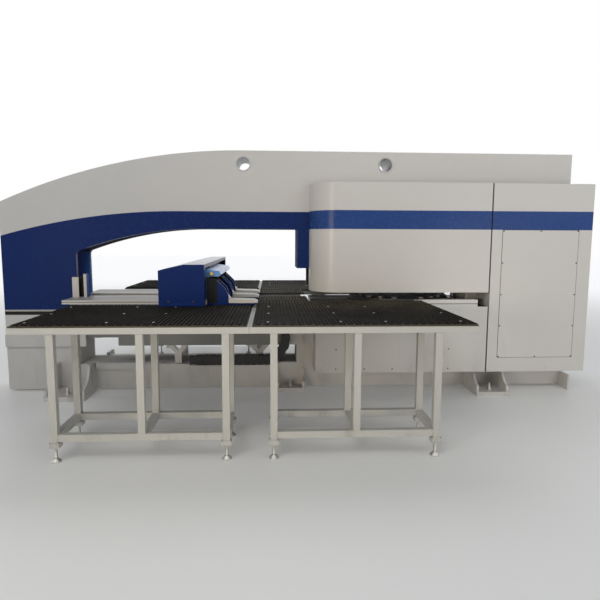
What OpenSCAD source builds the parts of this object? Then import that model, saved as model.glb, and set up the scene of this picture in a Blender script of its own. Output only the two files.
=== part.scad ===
// CNC turret punch press: a closed O-frame of welded plate, a turret between its jaws, a beam with clamps
// that moves the sheet, and brush tables on both sides. X runs along the frame, Y across it, Z up; the
// front is -Y.
// Origin: on the floor, at the centre of the whole machine's box. All sizes in millimetres.

/* [Frame] */
// X of the frame's left end
frame_left = -2618; // [-2700:1:-2560]
// X of the frame's right end
frame_right = 2565; // [2520:1:2600]
// Height of the frame's flat top
frame_top = 2187; // [2150:1:2230]
// Height of the frame's underside over the floor
frame_floor_gap = 20; // [15:1:35]
// Thickness of the frame over both side plates
frame_depth = 400; // [360:5:440]
// Thickness of a side plate
side_plate = 40; // [30:1:50]
// Thickness of the plates between the side plates
web_plate = 30; // [20:1:40]
// Radius of the arched left shoulder
shoulder_radius = 5160; // [5000:10:5300]
// X where the shoulder's arc runs into the flat top
shoulder_start = -460; // [-520:5:-400]

/* [Throat] */
// X of the throat's left side
throat_left = -1967; // [-2000:1:-1930]
// X of the throat's right side
throat_right = 20; // [0:1:40]
// Height of the throat's floor, which is the top of the base beam
throat_floor = 250; // [230:1:270]
// Height of the throat's flat ceiling
throat_ceiling = 1492; // [1480:1:1500]
// Radius of the arched ceiling on the left
throat_arch_radius = 3160; // [3100:10:3220]
// X where the ceiling starts to arch
throat_arch_start = -830; // [-860:5:-800]
// Radius of the throat's upper left corner
throat_corner = 40; // [30:5:160]

/* [Lifting holes] */
// Radius of the lifting bores through the frame
lift_bore_r = 58; // [50:1:62]
// Wall of the lifting tubes
lift_tube_wall = 12; // [8:1:16]
// Height of the lifting bores
lift_z = 2072; // [2060:1:2085]
// X of the lifting bores
lift_x = [-464, 823]; // positions along the frame

/* [Turret housing] */
// X of the turret cover's left side
cover_left = 130; // [110:1:150]
// X of the seam between cover and cabinet
cover_right = 1708; // [1700:1:1716]
// How far the covers stand in front of the machine's centre plane
cover_reach = 500; // [480:1:520]
// Lower edge of the turret cover
cover_bottom = 939; // [930:1:950]
// Upper edge of the turret cover and the cabinet
cover_top = 1890; // [1870:1:1910]
// Radius of the turret cover's left corner
cover_corner = 280; // [240:5:300]
// Sheet thickness of the covers
cover_sheet = 3; // [2:0.5:4]
// Lower and upper edge of the coloured band
band_z = [1490, 1651]; // heights on the covers

/* [Lower cover] */
// X of the lower cover's left side
lower_left = 172; // [150:1:200]
// Upper edge of the lower cover
lower_top = 813; // [805:1:820]
// Lower edge of the lower cover and the cabinet
lower_bottom = 222; // [210:1:235]

/* [Cabinet] */
// X of the cabinet's left side
cabinet_left = 1713; // [1712:1:1720]
// X of the cabinet's right side
cabinet_right = 2618; // [2600:1:2640]
// Access panel: left, right
panel_x = [1810, 2497]; // across the cabinet's front
// Access panel: bottom, top
panel_z = [352, 1488]; // on the cabinet's front

/* [Tables] */
// Height of the brush tops
table_top = 875; // [860:1:890]
// Thickness of the brush mat
brush_thickness = 20; // [15:1:25]
// Height of the white rail round a table
table_rail = 40; // [35:1:45]
// Square tube of the table frames
table_tube = 45; // [40:1:50]
// Y of the tables' outer edge
table_outer = 1805; // [1800:1:1810]
// Y of the outer tables' inner edge on the left
table_inner_left = 765; // [760:1:770]
// Y of the outer tables' inner edge on the right
table_inner_right = 505; // [503:1:515]
// X of the left end, the seam and the right end
table_x = [-1815, -350, 1106]; // along the machine
// X of the legs' left faces under the left table
legs_left = [-1589, -1050, -522]; // along the machine
// X of the legs' left faces under the right table
legs_right = [-221, 309, 829]; // along the machine
// Y of the legs' inner row, at its middle
leg_inner_y = 1377; // [1350:1:1400]
// Height of the stretchers' underside
stretcher_z = 137; // [120:1:150]

/* [Beam] */
// X of the beam's left and right side at rest
beam_x = [-1085, -733]; // along the machine
// Half length of the beam
beam_half = 950; // [930:5:960]
// Lowest and highest point of the beam's hood
hood_z = [878, 1202]; // heights over the floor
// How far the beam travels along the frame
beam_travel = [-600, 560]; // from the place shown
// How far the clamp carriage travels to the front and to the back
carriage_travel = [-60, 580]; // from the place shown

/* [Turret] */
// X of the turret's axis
turret_x = 1010; // [1000:1:1020]
// Radius of the turret plates
turret_r = 480; // [460:5:485]
// Radius of the circle of tool stations
station_circle = 395; // [380:1:400]
// Number of tool stations
stations = 20; // [16:2:24]
// Thickness of a turret plate
turret_plate = 70; // [60:1:80]
// Height of the sheet's pass line
pass_line = 890; // [888:1:892]
// Stroke of the punching ram
ram_stroke = 37; // [30:1:40]

/* [Hidden] */
$fn = 64;
half_depth = frame_depth / 2;
inner_depth = half_depth - side_plate;
cut = 5;
seam = 0.3;
white = "#d9d6d0";
blue = "#153f86";
steel = "#9a9ea3";
dark = "#2c2d30";
black = "#17181a";
grey = "#8d8c88";
cream = "#d8d2c0";
light_blue = "#6fa6dc";
zinc = "#b9b8b2";

// A shape drawn in X and Z, made solid from y0 to y1.
module side(y0, y1) {
    translate([0, y1, 0]) rotate([90, 0, 0]) linear_extrude(y1 - y0) children();
}

// A shape drawn in X and Y, made solid from z0 to z1.
module plan(z0, z1) {
    translate([0, 0, z0]) linear_extrude(z1 - z0) children();
}

// A shape drawn in Y and Z, made solid from x0 to x1.
module cross(x0, x1) {
    translate([x0, 0, 0]) rotate([90, 0, 90]) linear_extrude(x1 - x0) children();
}

// A box given by its two corners.
module block(low, high) {
    translate(low) cube(high - low);
}

// A round bar or a hole along one axis, from one end to the other.
module bar_x(x0, x1, y, z, r) {
    translate([x0, y, z]) rotate([0, 90, 0]) cylinder(r = r, h = x1 - x0);
}

module bar_y(x, y0, y1, z, r) {
    translate([x, y1, z]) rotate([90, 0, 0]) cylinder(r = r, h = y1 - y0);
}

module bar_z(x, y, z0, z1, r) {
    translate([x, y, z0]) cylinder(r = r, h = z1 - z0);
}

// The same thing on the front and, mirrored, on the rear.
module both_sides() {
    children();
    mirror([0, 1, 0]) children();
}

// Height of the shoulder's arc at a place, lowered by a plate's thickness.
function shoulder_z(x, lower = 0) =
    frame_top - shoulder_radius + sqrt(pow(shoulder_radius - lower, 2) - pow(shoulder_start - x, 2));

// The frame's outline, drawn in by a plate's thickness along the top.
module frame_outline(lower = 0) {
    intersection() {
        translate([frame_left, frame_floor_gap])
            square([shoulder_start - frame_left, frame_top - frame_floor_gap + cut]);
        translate([shoulder_start, frame_top - shoulder_radius])
            circle(shoulder_radius - lower, $fn = 720);
    }
    translate([shoulder_start, frame_floor_gap])
        square([frame_right - shoulder_start, frame_top - lower - frame_floor_gap]);
}

// Where the throat's corner arc is centred and where it meets the arched ceiling.
arch_z = throat_ceiling - throat_arch_radius;
corner_x = throat_left + throat_corner;
corner_reach = throat_arch_start - corner_x;
corner_drop = sqrt(pow(throat_arch_radius - throat_corner, 2) - pow(corner_reach, 2));
corner_z = arch_z + corner_drop;
corner_meet = throat_arch_start - corner_reach * throat_arch_radius / (throat_arch_radius - throat_corner);

// The throat, grown all round by a plate's thickness; its parts lap over each other.
lap = 1;
module throat(grow = 0) {
    left = throat_left - grow;
    floor_z = throat_floor - grow;
    meet = corner_meet - grow * corner_reach / (throat_arch_radius - throat_corner);
    translate([left, floor_z]) square([meet - left + lap, corner_z - floor_z]);
    intersection() {
        translate([corner_x, corner_z]) circle(throat_corner + grow, $fn = 180);
        translate([left - cut, corner_z - lap]) square([meet - left + cut + lap, throat_corner + grow + cut]);
    }
    intersection() {
        translate([throat_arch_start, arch_z]) circle(throat_arch_radius + grow, $fn = 720);
        translate([meet, floor_z]) square([throat_arch_start - meet + lap,
            throat_ceiling - floor_z + grow + cut]);
    }
    translate([throat_arch_start, floor_z])
        square([throat_right + grow - throat_arch_start, throat_ceiling + 2 * grow - throat_floor]);
}

// The gap between the jaws, where the turret turns.
jaw_gap_right = 1610;
jaw_gap_z = [690, 1135];
module jaw_gap() {
    translate([throat_right - cut, jaw_gap_z[0]])
        square([jaw_gap_right - throat_right + cut, jaw_gap_z[1] - jaw_gap_z[0]]);
}

tube_r = lift_bore_r + lift_tube_wall;
weld_gap = 0.5;

// Left, right, bottom and top of the pieces that each side plate is welded from.
plate_left_end = frame_left - cut;
plate_right_end = frame_right + cut;
plate_pieces = [
    [plate_left_end, throat_left, 0, frame_top],
    [throat_left, -1930, throat_floor, frame_top],
    [-1930, -1500, throat_floor, frame_top],
    [-1500, -1160, throat_floor, frame_top],
    [-1160, throat_arch_start, throat_floor, frame_top],
    [throat_arch_start, throat_right, throat_floor, frame_top],
    [throat_left, throat_right, 0, throat_floor],
    [throat_right, jaw_gap_right, jaw_gap_z[1], frame_top],
    [throat_right, jaw_gap_right, 0, jaw_gap_z[0]],
    [jaw_gap_right, plate_right_end, 0, frame_top],
];

module side_plate_shape() {
    difference() {
        frame_outline();
        throat();
        jaw_gap();
        for (x = lift_x) translate([x, lift_z]) circle(tube_r + weld_gap);
    }
}

module side_plate(y0, y1) {
    color(white) for (p = plate_pieces) side(y0, y1) intersection() {
        side_plate_shape();
        translate([p[0] + seam / 2, p[2]]) square([p[1] - p[0] - seam, p[3] - p[2] + cut]);
    }
}

module frame_front_plate() {
    side_plate(-half_depth, -inner_depth);
}

module frame_rear_plate() {
    side_plate(inner_depth, half_depth);
}

// The top skin between the side plates, over the arched shoulder and the flat top.
module frame_crown_plate() {
    color(white) side(-inner_depth, inner_depth) difference() {
        frame_outline();
        frame_outline(web_plate);
    }
}

// The plates that line the throat; they stop at the gap between the jaws.
module frame_throat_lining() {
    color(blue) side(-inner_depth, inner_depth) difference() {
        throat(web_plate);
        throat();
        translate([throat_arch_start, jaw_gap_z[0]])
            square([throat_right + 2 * web_plate - throat_arch_start, jaw_gap_z[1] - jaw_gap_z[0]]);
    }
}

// Plates that close the frame's two ends and its underside.
module frame_end_plates() {
    foot_z = frame_floor_gap;
    color(white) {
        block([frame_left, -inner_depth, foot_z],
            [frame_left + web_plate, inner_depth, shoulder_z(frame_left, web_plate) - cut]);
        block([frame_right - web_plate, -inner_depth, foot_z],
            [frame_right, inner_depth, frame_top - web_plate]);
        block([frame_left + web_plate, -inner_depth, foot_z],
            [frame_right - web_plate, inner_depth, foot_z + web_plate]);
    }
}

// Diaphragms inside the frame's columns, crown and jaws.
rib_t = 20;
module frame_ribs() {
    left_in = frame_left + web_plate;
    left_out = throat_left - web_plate;
    crown_top = frame_top - web_plate;
    color(white) {
        for (z = [430, 800, 1170])
            block([left_in, -inner_depth, z], [left_out, inner_depth, z + rib_t]);
        for (x = [-1500, -1100])
            block([x, -inner_depth, 1540], [x + rib_t, inner_depth, shoulder_z(x, web_plate) - 10]);
        for (x = [-200, 300, 1300, 1700, 2130])
            block([x, -inner_depth, throat_ceiling + web_plate], [x + rib_t, inner_depth, crown_top]);
        block([jaw_gap_right, -inner_depth, 50], [jaw_gap_right + web_plate, inner_depth, throat_ceiling]);
        for (x = [90, 440, 1440]) {
            block([x, -inner_depth, 50], [x + rib_t, inner_depth, jaw_gap_z[0] - web_plate]);
            block([x, -inner_depth, jaw_gap_z[1] + web_plate], [x + rib_t, inner_depth, throat_ceiling]);
        }
        difference() {
            for (span = [[throat_right + web_plate, 480], [1380, jaw_gap_right]],
                z = [jaw_gap_z[0] - web_plate, jaw_gap_z[1]])
                block([span[0], -inner_depth, z], [span[1], inner_depth, z + web_plate]);
            bar_z(drive_x, 0, jaw_gap_z[1] - cut, jaw_gap_z[1] + web_plate + cut, drive_r + 7);
        }
        for (z = [800, 1500])
            block([1720 + rib_t, -inner_depth, z], [frame_right - web_plate, inner_depth, z + rib_t]);
    }
}

// The strip along the top of the base beam, which stands a little proud of the frame, with the chain's
// tray in front.
ledge_proud = 25;
module base_beam() {
    tray_t = 6;
    color(white) {
        both_sides()
            block([feet[0][1] + 5, -half_depth - ledge_proud, 206],
                [feet[1][0] - 5, -half_depth, throat_floor]);
        block([chain_left, chain_y[0] - 4, throat_floor - tray_t],
            [feet[1][0] - 5, -half_depth - ledge_proud, throat_floor]);
    }
}

module lifting_tubes() {
    color(steel) for (x = lift_x) difference() {
        bar_y(x, -half_depth - 4, half_depth + 4, lift_z, tube_r);
        bar_y(x, -half_depth - 10, half_depth + 10, lift_z, lift_bore_r);
    }
}

// Stepped pads on both columns that carry the rail bed's ends.
module column_ledges() {
    color(grey) both_sides() {
        block([frame_left, -half_depth - ledge_proud, 420], [-1905, -half_depth, 530]);
        block([-60, -half_depth - ledge_proud, 425], [80, -half_depth, 530]);
    }
}

// A foot: a floor plate with two curved gussets against the frame.
foot_plate_t = 40;
foot_bolt_r = 14;
module foot(x0, x1, reach, height) {
    gusset_t = 22;
    out = -half_depth - reach;
    difference() {
        block([x0, out, 0], [x1, -half_depth, foot_plate_t]);
        bar_z((x0 + x1) / 2, out + 90, -cut, foot_plate_t + cut, foot_bolt_r);
    }
    for (x = [x0, x1 - gusset_t])
        cross(x, x + gusset_t) difference() {
            translate([out + 12, foot_plate_t]) square([reach - 12, height]);
            translate([out + 12 - 40, foot_plate_t + height + 30])
                circle(height - 20, $fn = 90);
        }
}

// X from and to, reach and gusset height of each foot; the right end stands on one plate with two ears.
feet = [[-2170, -1830, 340, 230], [-170, 90, 130, 160], [1630, 1925, 328, 180]];
ear_reach = 155;
ear_height = 145;
ear_plate = 20;
module machine_feet() {
    color(white) {
        both_sides() for (f = feet) foot(f[0], f[1], f[2], f[3]);
        block([frame_right, -half_depth - ear_reach, 0],
            [frame_right + ear_plate, half_depth + ear_reach, ear_height]);
    }
}

// Anchor bolts: a stud through the foot plate, with a washer and a nut.
module anchor_bolt(x, y) {
    bar_z(x, y, 0, foot_plate_t + 62, 11);
    difference() {
        bar_z(x, y, foot_plate_t, foot_plate_t + 6, 26);
        bar_z(x, y, 0, foot_plate_t + 10, 11.5);
    }
    translate([x, y, foot_plate_t + 6]) difference() {
        cylinder(r = 21, h = 20, $fn = 6);
        translate([0, 0, -cut]) cylinder(r = 11.5, h = 40);
    }
}

module anchor_bolts() {
    color(zinc) both_sides() for (f = feet)
        anchor_bolt((f[0] + f[1]) / 2, -half_depth - f[2] + 90);
}

// The turret cover seen from above: straight front, large round corner, straight side back to the frame.
module cover_plan(inset = 0) {
    left = cover_left + inset;
    front = -cover_reach + inset;
    r = cover_corner - inset;
    translate([left, front + r]) square([cover_right - left, -half_depth - front - r]);
    translate([left + r, front]) square([cover_right - left - r, r]);
    intersection() {
        translate([left + r, front + r]) circle(r, $fn = 180);
        translate([left, front]) square(r);
    }
}

// A sheet-metal shell over the upper turret, closed on top, with a folded lip along its lower edge.
lip = 30;
module turret_cover() {
    difference() {
        plan(cover_bottom, cover_top) cover_plan();
        plan(cover_bottom - cut, cover_top - cover_sheet) difference() {
            cover_plan(cover_sheet);
            translate([cover_right - cover_sheet, -cover_reach]) square([cut, cover_reach]);
        }
    }
    plan(cover_bottom, cover_bottom + cover_sheet) difference() {
        cover_plan(cover_sheet - 1);
        cover_plan(lip);
        translate([cover_right - lip, -cover_reach + lip]) square([lip + cut, cover_reach]);
    }
}

module turret_cover_front() {
    color(white) turret_cover();
}

module turret_cover_rear() {
    color(white) mirror([0, 1, 0]) turret_cover();
}

// The box over the lower turret: front, ends and top of folded sheet.
module lower_cover() {
    t = cover_sheet;
    difference() {
        block([lower_left, -cover_reach, lower_bottom], [cover_right, -half_depth, lower_top]);
        block([lower_left + t, -cover_reach + t, lower_bottom - cut],
            [cover_right - t, -half_depth + cut, lower_top - t]);
        plan(lower_top - 2 * t, lower_top + cut) translate([turret_x, 0]) circle(turret_r + 15, $fn = 180);
    }
}

module lower_cover_front() {
    color(white) lower_cover();
}

module lower_cover_rear() {
    color(white) mirror([0, 1, 0]) lower_cover();
}

// One half of the cabinet that wraps the frame's right end; the halves meet at the centre plane.
module cabinet_half() {
    t = cover_sheet;
    end_in = frame_right;
    back = -half_depth;
    difference() {
        plan(lower_bottom, cover_top) polygon([
            [cabinet_left, -cover_reach], [cabinet_right, -cover_reach], [cabinet_right, -1],
            [end_in, -1], [end_in, back], [cabinet_left, back]]);
        plan(lower_bottom + t, cover_top - t) polygon([
            [cabinet_left + t, -cover_reach + t], [cabinet_right - t, -cover_reach + t],
                [cabinet_right - t, -1 + cut],
            [end_in - cut, -1 + cut], [end_in - cut, back + cut], [cabinet_left + t, back + cut]]);
        block([panel_x[0] + 25, -cover_reach - cut, panel_z[0] + 25],
            [panel_x[1] - 25, -cover_reach + t + cut, panel_z[1] - 25]);
    }
}

module cabinet_front() {
    color(white) cabinet_half();
}

module cabinet_rear() {
    color(white) mirror([0, 1, 0]) cabinet_half();
}

// Sheet panels screwed over the cabinet's openings, one on each side.
panel_t = 2;
module access_panels() {
    color(white) both_sides()
        block([panel_x[0], -cover_reach - panel_t, panel_z[0]], [panel_x[1], -cover_reach, panel_z[1]]);
}

// Places of the screws on the access panel and along the lower cover.
panel_rows = [for (i = [0 : 4]) panel_z[0] + 8 + i * (panel_z[1] - panel_z[0] - 16) / 4];
panel_screw_x = [panel_x[0] + 9, (panel_x[0] + panel_x[1]) / 2, panel_x[1] - 9];
lower_screws = [[354, 434], [354, 256], [607, 256], [859, 256], [1364, 434], [1364, 256]];
screw_r = 6;
module pan_head(x, y, z) {
    bar_y(x, y - 3, y, z, screw_r);
    translate([x, y - 3, z]) rotate([90, 0, 0]) cylinder(r1 = screw_r, r2 = screw_r * 0.6, h = 1.5);
}

module panel_screws() {
    color(steel) both_sides() {
        for (x = [panel_screw_x[0], panel_screw_x[2]], z = panel_rows) pan_head(x, -cover_reach - panel_t, z);
        for (z = [panel_rows[0], panel_rows[4]]) pan_head(panel_screw_x[1], -cover_reach - panel_t, z);
        for (s = lower_screws) pan_head(s[0], -cover_reach, s[1]);
    }
}

// The low white box beside the lower turret, on the lower cover's top.
guard_x = [1040, 1613];
guard_front = 498;
guard_groove = [lower_top + 22, lower_top + 28];
module turret_guard() {
    t = cover_sheet;
    color(white) both_sides() difference() {
        block([guard_x[0], -guard_front, lower_top], [guard_x[1], -guard_front + 90, table_top]);
        block([guard_x[0] + t, -guard_front + t, lower_top - cut],
            [guard_x[1] - t, -guard_front + 90 - t, table_top - t]);
        block([guard_x[0] - cut, -guard_front - cut, guard_groove[0]],
            [guard_x[1] + cut, -guard_front + t / 2, guard_groove[1]]);
        plan(lower_top - cut, table_top + cut) translate([turret_x, 0]) circle(turret_r + 15, $fn = 180);
    }
}

// Heights in the turret, from the pass line outwards.
die_z = pass_line;
lower_disc_z = [die_z - 15 - turret_plate, die_z - 15];
upper_disc_z = [pass_line + 82, pass_line + 82 + turret_plate];
station_x = turret_x - station_circle;
station_step = 360 / stations;
bore_big = 26;
bore_small = 17;
shaft_r = 50;
run_fit = 0.06;
hub_r = 110;
index_circle = 270;
index_r = 12;
sprocket_teeth = 96;
sprocket_r = turret_r - 14;

// Every fifth station, which comes under the ram at the quarter turns, holds no tool.
function has_tool(i) = i % (stations / 4) != 0;
function bore_r(i) = i % 2 == 0 ? bore_big : bore_small;

// The turret plate without its hub: stations, index bushes and a toothed rim for the drive chain.
module turret_disc(z) {
    difference() {
        union() {
            bar_z(turret_x, 0, z[0], z[1], sprocket_r);
            plan(z[0] + 22, z[0] + 34) translate([turret_x, 0]) {
                circle(sprocket_r + 4, $fn = 180);
                for (i = [0 : sprocket_teeth - 1]) rotate(i * 360 / sprocket_teeth)
                    translate([sprocket_r, 0]) polygon([[0, -7], [turret_r - sprocket_r, -3],
                        [turret_r - sprocket_r, 3], [0, 7]]);
            }
        }
        for (i = [0 : stations - 1]) {
            a = 180 + i * station_step;
            bar_z(turret_x + station_circle * cos(a), station_circle * sin(a), z[0] - cut, z[1] + cut,
                bore_r(i));
            bar_z(turret_x + index_circle * cos(a), index_circle * sin(a), z[0] - cut, z[1] + cut,
                index_r + run_fit);
        }
        for (i = [0 : 5]) rotate_about(i * 60 + 30)
            bar_z(turret_x + 185, 0, z[0] - cut, z[1] + cut, 45);
    }
}

module rotate_about(a) {
    translate([turret_x, 0, 0]) rotate([0, 0, a]) translate([-turret_x, 0, 0]) children();
}

upper_block_z = [jaw_gap_z[1] + 10, 1330];
lower_block_z = [470, jaw_gap_z[0] - 10];
module upper_turret() {
    color(steel) {
        turret_disc(upper_disc_z);
        bar_z(turret_x, 0, upper_disc_z[1] + seam, jaw_gap_z[1] - 5, hub_r);
        bar_z(turret_x, 0, jaw_gap_z[1] - 5, upper_block_z[1] + 5, shaft_r);
        bar_z(turret_x, 0, upper_block_z[1] + 5, upper_block_z[1] + 40, shaft_r + 22);
    }
}

module lower_turret() {
    color(steel) {
        turret_disc(lower_disc_z);
        bar_z(turret_x, 0, jaw_gap_z[0] + 5, lower_disc_z[0] - seam, hub_r);
        bar_z(turret_x, 0, lower_block_z[0] - 5, jaw_gap_z[0] + 5, shaft_r);
        bar_z(turret_x, 0, lower_block_z[0] - 40, lower_block_z[0] - 5, shaft_r + 22);
    }
}

// Cast blocks in the jaws that carry the turret shafts and guide the index pins.
block_half = inner_depth;
module turret_bearing_blocks() {
    color(dark) for (z = [upper_block_z, lower_block_z]) difference() {
        block([turret_x - 170, -block_half, z[0]], [turret_x + index_circle + 50, block_half, z[1]]);
        bar_z(turret_x, 0, z[0] - cut, z[1] + cut, shaft_r + run_fit);
        bar_z(turret_x + index_circle, 0, z[0] - cut, z[1] + cut, index_r + 4 + run_fit);
    }
}

// Pins that lock the turrets while a hole is punched: a guided shank with a slimmer nose.
index_rest = 3;
module index_pin_upper() {
    nose = upper_disc_z[1] + index_rest;
    color(steel) {
        bar_z(turret_x + index_circle, 0, nose, nose + 45, index_r);
        bar_z(turret_x + index_circle, 0, nose + 45, upper_block_z[1] + 60, index_r + 4);
        bar_z(turret_x + index_circle, 0, upper_block_z[1] + 60, upper_block_z[1] + 72, index_r + 14);
    }
}

module index_pin_lower() {
    nose = lower_disc_z[0] - index_rest;
    color(steel) {
        bar_z(turret_x + index_circle, 0, nose - 45, nose, index_r);
        bar_z(turret_x + index_circle, 0, lower_block_z[0] - 60, nose - 45, index_r + 4);
        bar_z(turret_x + index_circle, 0, lower_block_z[0] - 72, lower_block_z[0] - 60, index_r + 14);
    }
}

// Punches: guide body in the station, head on a flange, and a stripper nose over the sheet.
tool_gap = 0.1;
punch_head = 56;
module punch(r) {
    body_r = r - tool_gap;
    cylinder(r = body_r, h = turret_plate);
    translate([0, 0, turret_plate]) cylinder(r = r + 5, h = 12);
    translate([0, 0, turret_plate + 12]) cylinder(r = r * 0.72, h = punch_head - 22);
    translate([0, 0, turret_plate + punch_head - 10]) cylinder(r = r * 0.9, h = 10);
    translate([0, 0, -48]) cylinder(r1 = r * 0.66, r2 = body_r - 1, h = 48);
}

module die(r) {
    difference() {
        union() {
            translate([0, 0, 12]) cylinder(r = r - tool_gap, h = turret_plate - 12);
            translate([0, 0, turret_plate]) cylinder(r = r + 8, h = 13);
        }
        translate([0, 0, -cut]) cylinder(r = r * 0.5, h = turret_plate + 30);
    }
}

module each_tool(z) {
    for (i = [0 : stations - 1]) if (has_tool(i)) {
        a = 180 + i * station_step;
        translate([turret_x + station_circle * cos(a), station_circle * sin(a), z])
            if (bore_r(i) == bore_big) children(0); else children(1);
    }
}

module punches() {
    color(zinc) each_tool(upper_disc_z[0]) { punch(bore_big); punch(bore_small); }
}

module dies() {
    color(zinc) each_tool(lower_disc_z[0]) { die(bore_big); die(bore_small); }
}

// The hydraulic punching cylinder in the upper jaw, and its ram over the punches' heads.
ram_r = 45;
ram_tip_r = 22;
ram_z = upper_disc_z[1] + punch_head + 4;
cylinder_z = [jaw_gap_z[1] + 5, 1460];
module ram_cylinder() {
    color(dark) difference() {
        union() {
            bar_z(station_x, 0, cylinder_z[0], cylinder_z[1], 82);
            bar_z(station_x, 0, cylinder_z[0], cylinder_z[0] + 40, 115);
            bar_z(station_x, 0, cylinder_z[1] - 30, cylinder_z[1], 100);
            block([station_x - 118, -inner_depth, cylinder_z[0] + 60],
                [station_x + 118, inner_depth, cylinder_z[0] + 110]);
        }
        bar_z(station_x, 0, cylinder_z[0] - cut, cylinder_z[1] + cut, ram_r + run_fit);
    }
}

module ram() {
    collar = cylinder_z[1] + 12 + ram_stroke;
    color(steel) {
        bar_z(station_x, 0, ram_z, ram_z + 60, ram_tip_r);
        bar_z(station_x, 0, ram_z + 60, collar, ram_r);
        bar_z(station_x, 0, collar, collar + 14, ram_r + 14);
    }
}

// The turret drive: a geared motor in the upper jaw, over the shaft that carries both chain sprockets.
drive_x = 1552;
drive_r = 17;
drive_teeth = 8;
drive_sprocket_r = turret_r * drive_teeth / sprocket_teeth;
motor_z = jaw_gap_z[1] + web_plate;
module turret_motor() {
    color(dark) {
        difference() {
            block([drive_x - 52, -60, motor_z], [drive_x + 52, 60, motor_z + 70]);
            bar_z(drive_x, 0, motor_z - cut, motor_z + 40, drive_r + 3);
        }
        bar_z(drive_x, 0, motor_z + 70, motor_z + 210, 48);
        for (a = [0 : 30 : 330]) translate([drive_x, 0, motor_z + 90]) rotate([0, 0, a])
            translate([47, -2, 0]) cube([6, 4, 100]);
        difference() {
            block([drive_x - 45, -50, jaw_gap_z[0]], [drive_x + 45, 50, jaw_gap_z[0] + 45]);
            bar_z(drive_x, 0, jaw_gap_z[0] + 10, jaw_gap_z[0] + 50, drive_r + run_fit);
        }
    }
}

module drive_sprocket(z) {
    plan(z, z + 12) translate([drive_x, 0]) {
        circle(drive_sprocket_r - 10, $fn = 96);
        for (i = [0 : drive_teeth - 1]) rotate(i * 360 / drive_teeth)
            translate([drive_sprocket_r - 12, 0]) polygon([[0, -8], [12, -3], [12, 3], [0, 8]]);
    }
    bar_z(drive_x, 0, z - 14, z, drive_r + 9);
}

module turret_drive_shaft() {
    color(steel) {
        bar_z(drive_x, 0, jaw_gap_z[0] + 12, motor_z + 38, drive_r);
        drive_sprocket(upper_disc_z[0] + 22);
        drive_sprocket(lower_disc_z[0] + 22);
    }
}

// Heights in a table, from the floor up.
rail_z = [table_top - brush_thickness - table_rail + 2, table_top - brush_thickness + 2];
mat_z = rail_z[1];
leg_bottom = 98;
collar_h = 30;
leg_rows = [-table_outer + 5, -leg_inner_y - table_tube / 2];

// A welded table frame: rails round the edge, cross rails, two rows of legs and stretchers between them,
// each a bar of its own with a hairline seam where it is welded. The middle legs stand on the stretchers.
module table_frame(x0, x1, inner, legs) {
    t = table_tube;
    r = table_rail;
    bay = (x1 - x0 - r) / 3;
    for (y = [-table_outer, -inner - r]) block([x0, y, rail_z[0]], [x1, y + r, rail_z[1]]);
    for (i = [0 : 3])
        block([x0 + i * bay, -table_outer + r + seam, rail_z[0]],
            [x0 + i * bay + r, -inner - r - seam, rail_z[1]]);
    for (x = legs) {
        foot_z = x == legs[1] ? stretcher_z + t + seam : leg_bottom + collar_h;
        for (y = leg_rows) block([x, y, foot_z], [x + t, y + t, rail_z[0] - seam]);
        block([x, leg_rows[0] + t + seam, stretcher_z], [x + t, leg_rows[1] - seam, stretcher_z + t]);
        block([x, leg_rows[1] + t + seam, rail_z[0] - r], [x + t, -inner, rail_z[0] - seam]);
    }
    for (y = leg_rows)
        block([legs[0] + t + seam, y, stretcher_z], [legs[2] - seam, y + t, stretcher_z + t]);
}

module left_table() {
    table_frame(table_x[0], table_x[1] - 2, table_inner_left, legs_left);
}

module right_table() {
    table_frame(table_x[1], table_x[2], table_inner_right, legs_right);
}

module left_front_table() {
    color(zinc) left_table();
}

module right_front_table() {
    color(zinc) right_table();
}

module left_rear_table() {
    color(zinc) mirror([0, 1, 0]) left_table();
}

module right_rear_table() {
    color(zinc) mirror([0, 1, 0]) right_table();
}

// A brush mat: a flat base with rows of bristles that run across the machine.
brush_pitch = 26;
brush_row = 12;
module brush_mat(x0, x1, y0, y1) {
    base = mat_z + 8;
    rows = floor((x1 - x0) / brush_pitch);
    start = x0 + (x1 - x0 - (rows - 1) * brush_pitch - brush_row) / 2;
    block([x0, y0, mat_z], [x1, y1, base]);
    side_gap = 14;
    for (i = [0 : rows - 1])
        block([start + i * brush_pitch, y0 + side_gap, base],
            [start + i * brush_pitch + brush_row, y1 - 3, table_top]);
}

// Rail left bare on each side of the seam between the tables.
mat_margin = 17;
module brush_tops() {
    color(black) both_sides() {
        brush_mat(table_x[0] + 6, table_x[1] - mat_margin, -table_outer + 3, -table_inner_left);
        brush_mat(table_x[1] + mat_margin, table_x[2] - 6, -table_outer + 3, -table_inner_right);
    }
}

// The fixed tables over the rail bed, on both sides of the saddle's slot.
slot_half = 120;
centre_split_x = -738;
centre_gap = 3;
centre_right = 110;
module centre_brush_tops() {
    color(black) both_sides() {
        brush_mat(centre_split_x + centre_gap, table_x[1] - 1, -table_inner_left + centre_gap, -slot_half);
        brush_mat(table_x[1] + 1, centre_right, -table_inner_right + centre_gap, -slot_half);
    }
}

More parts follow.
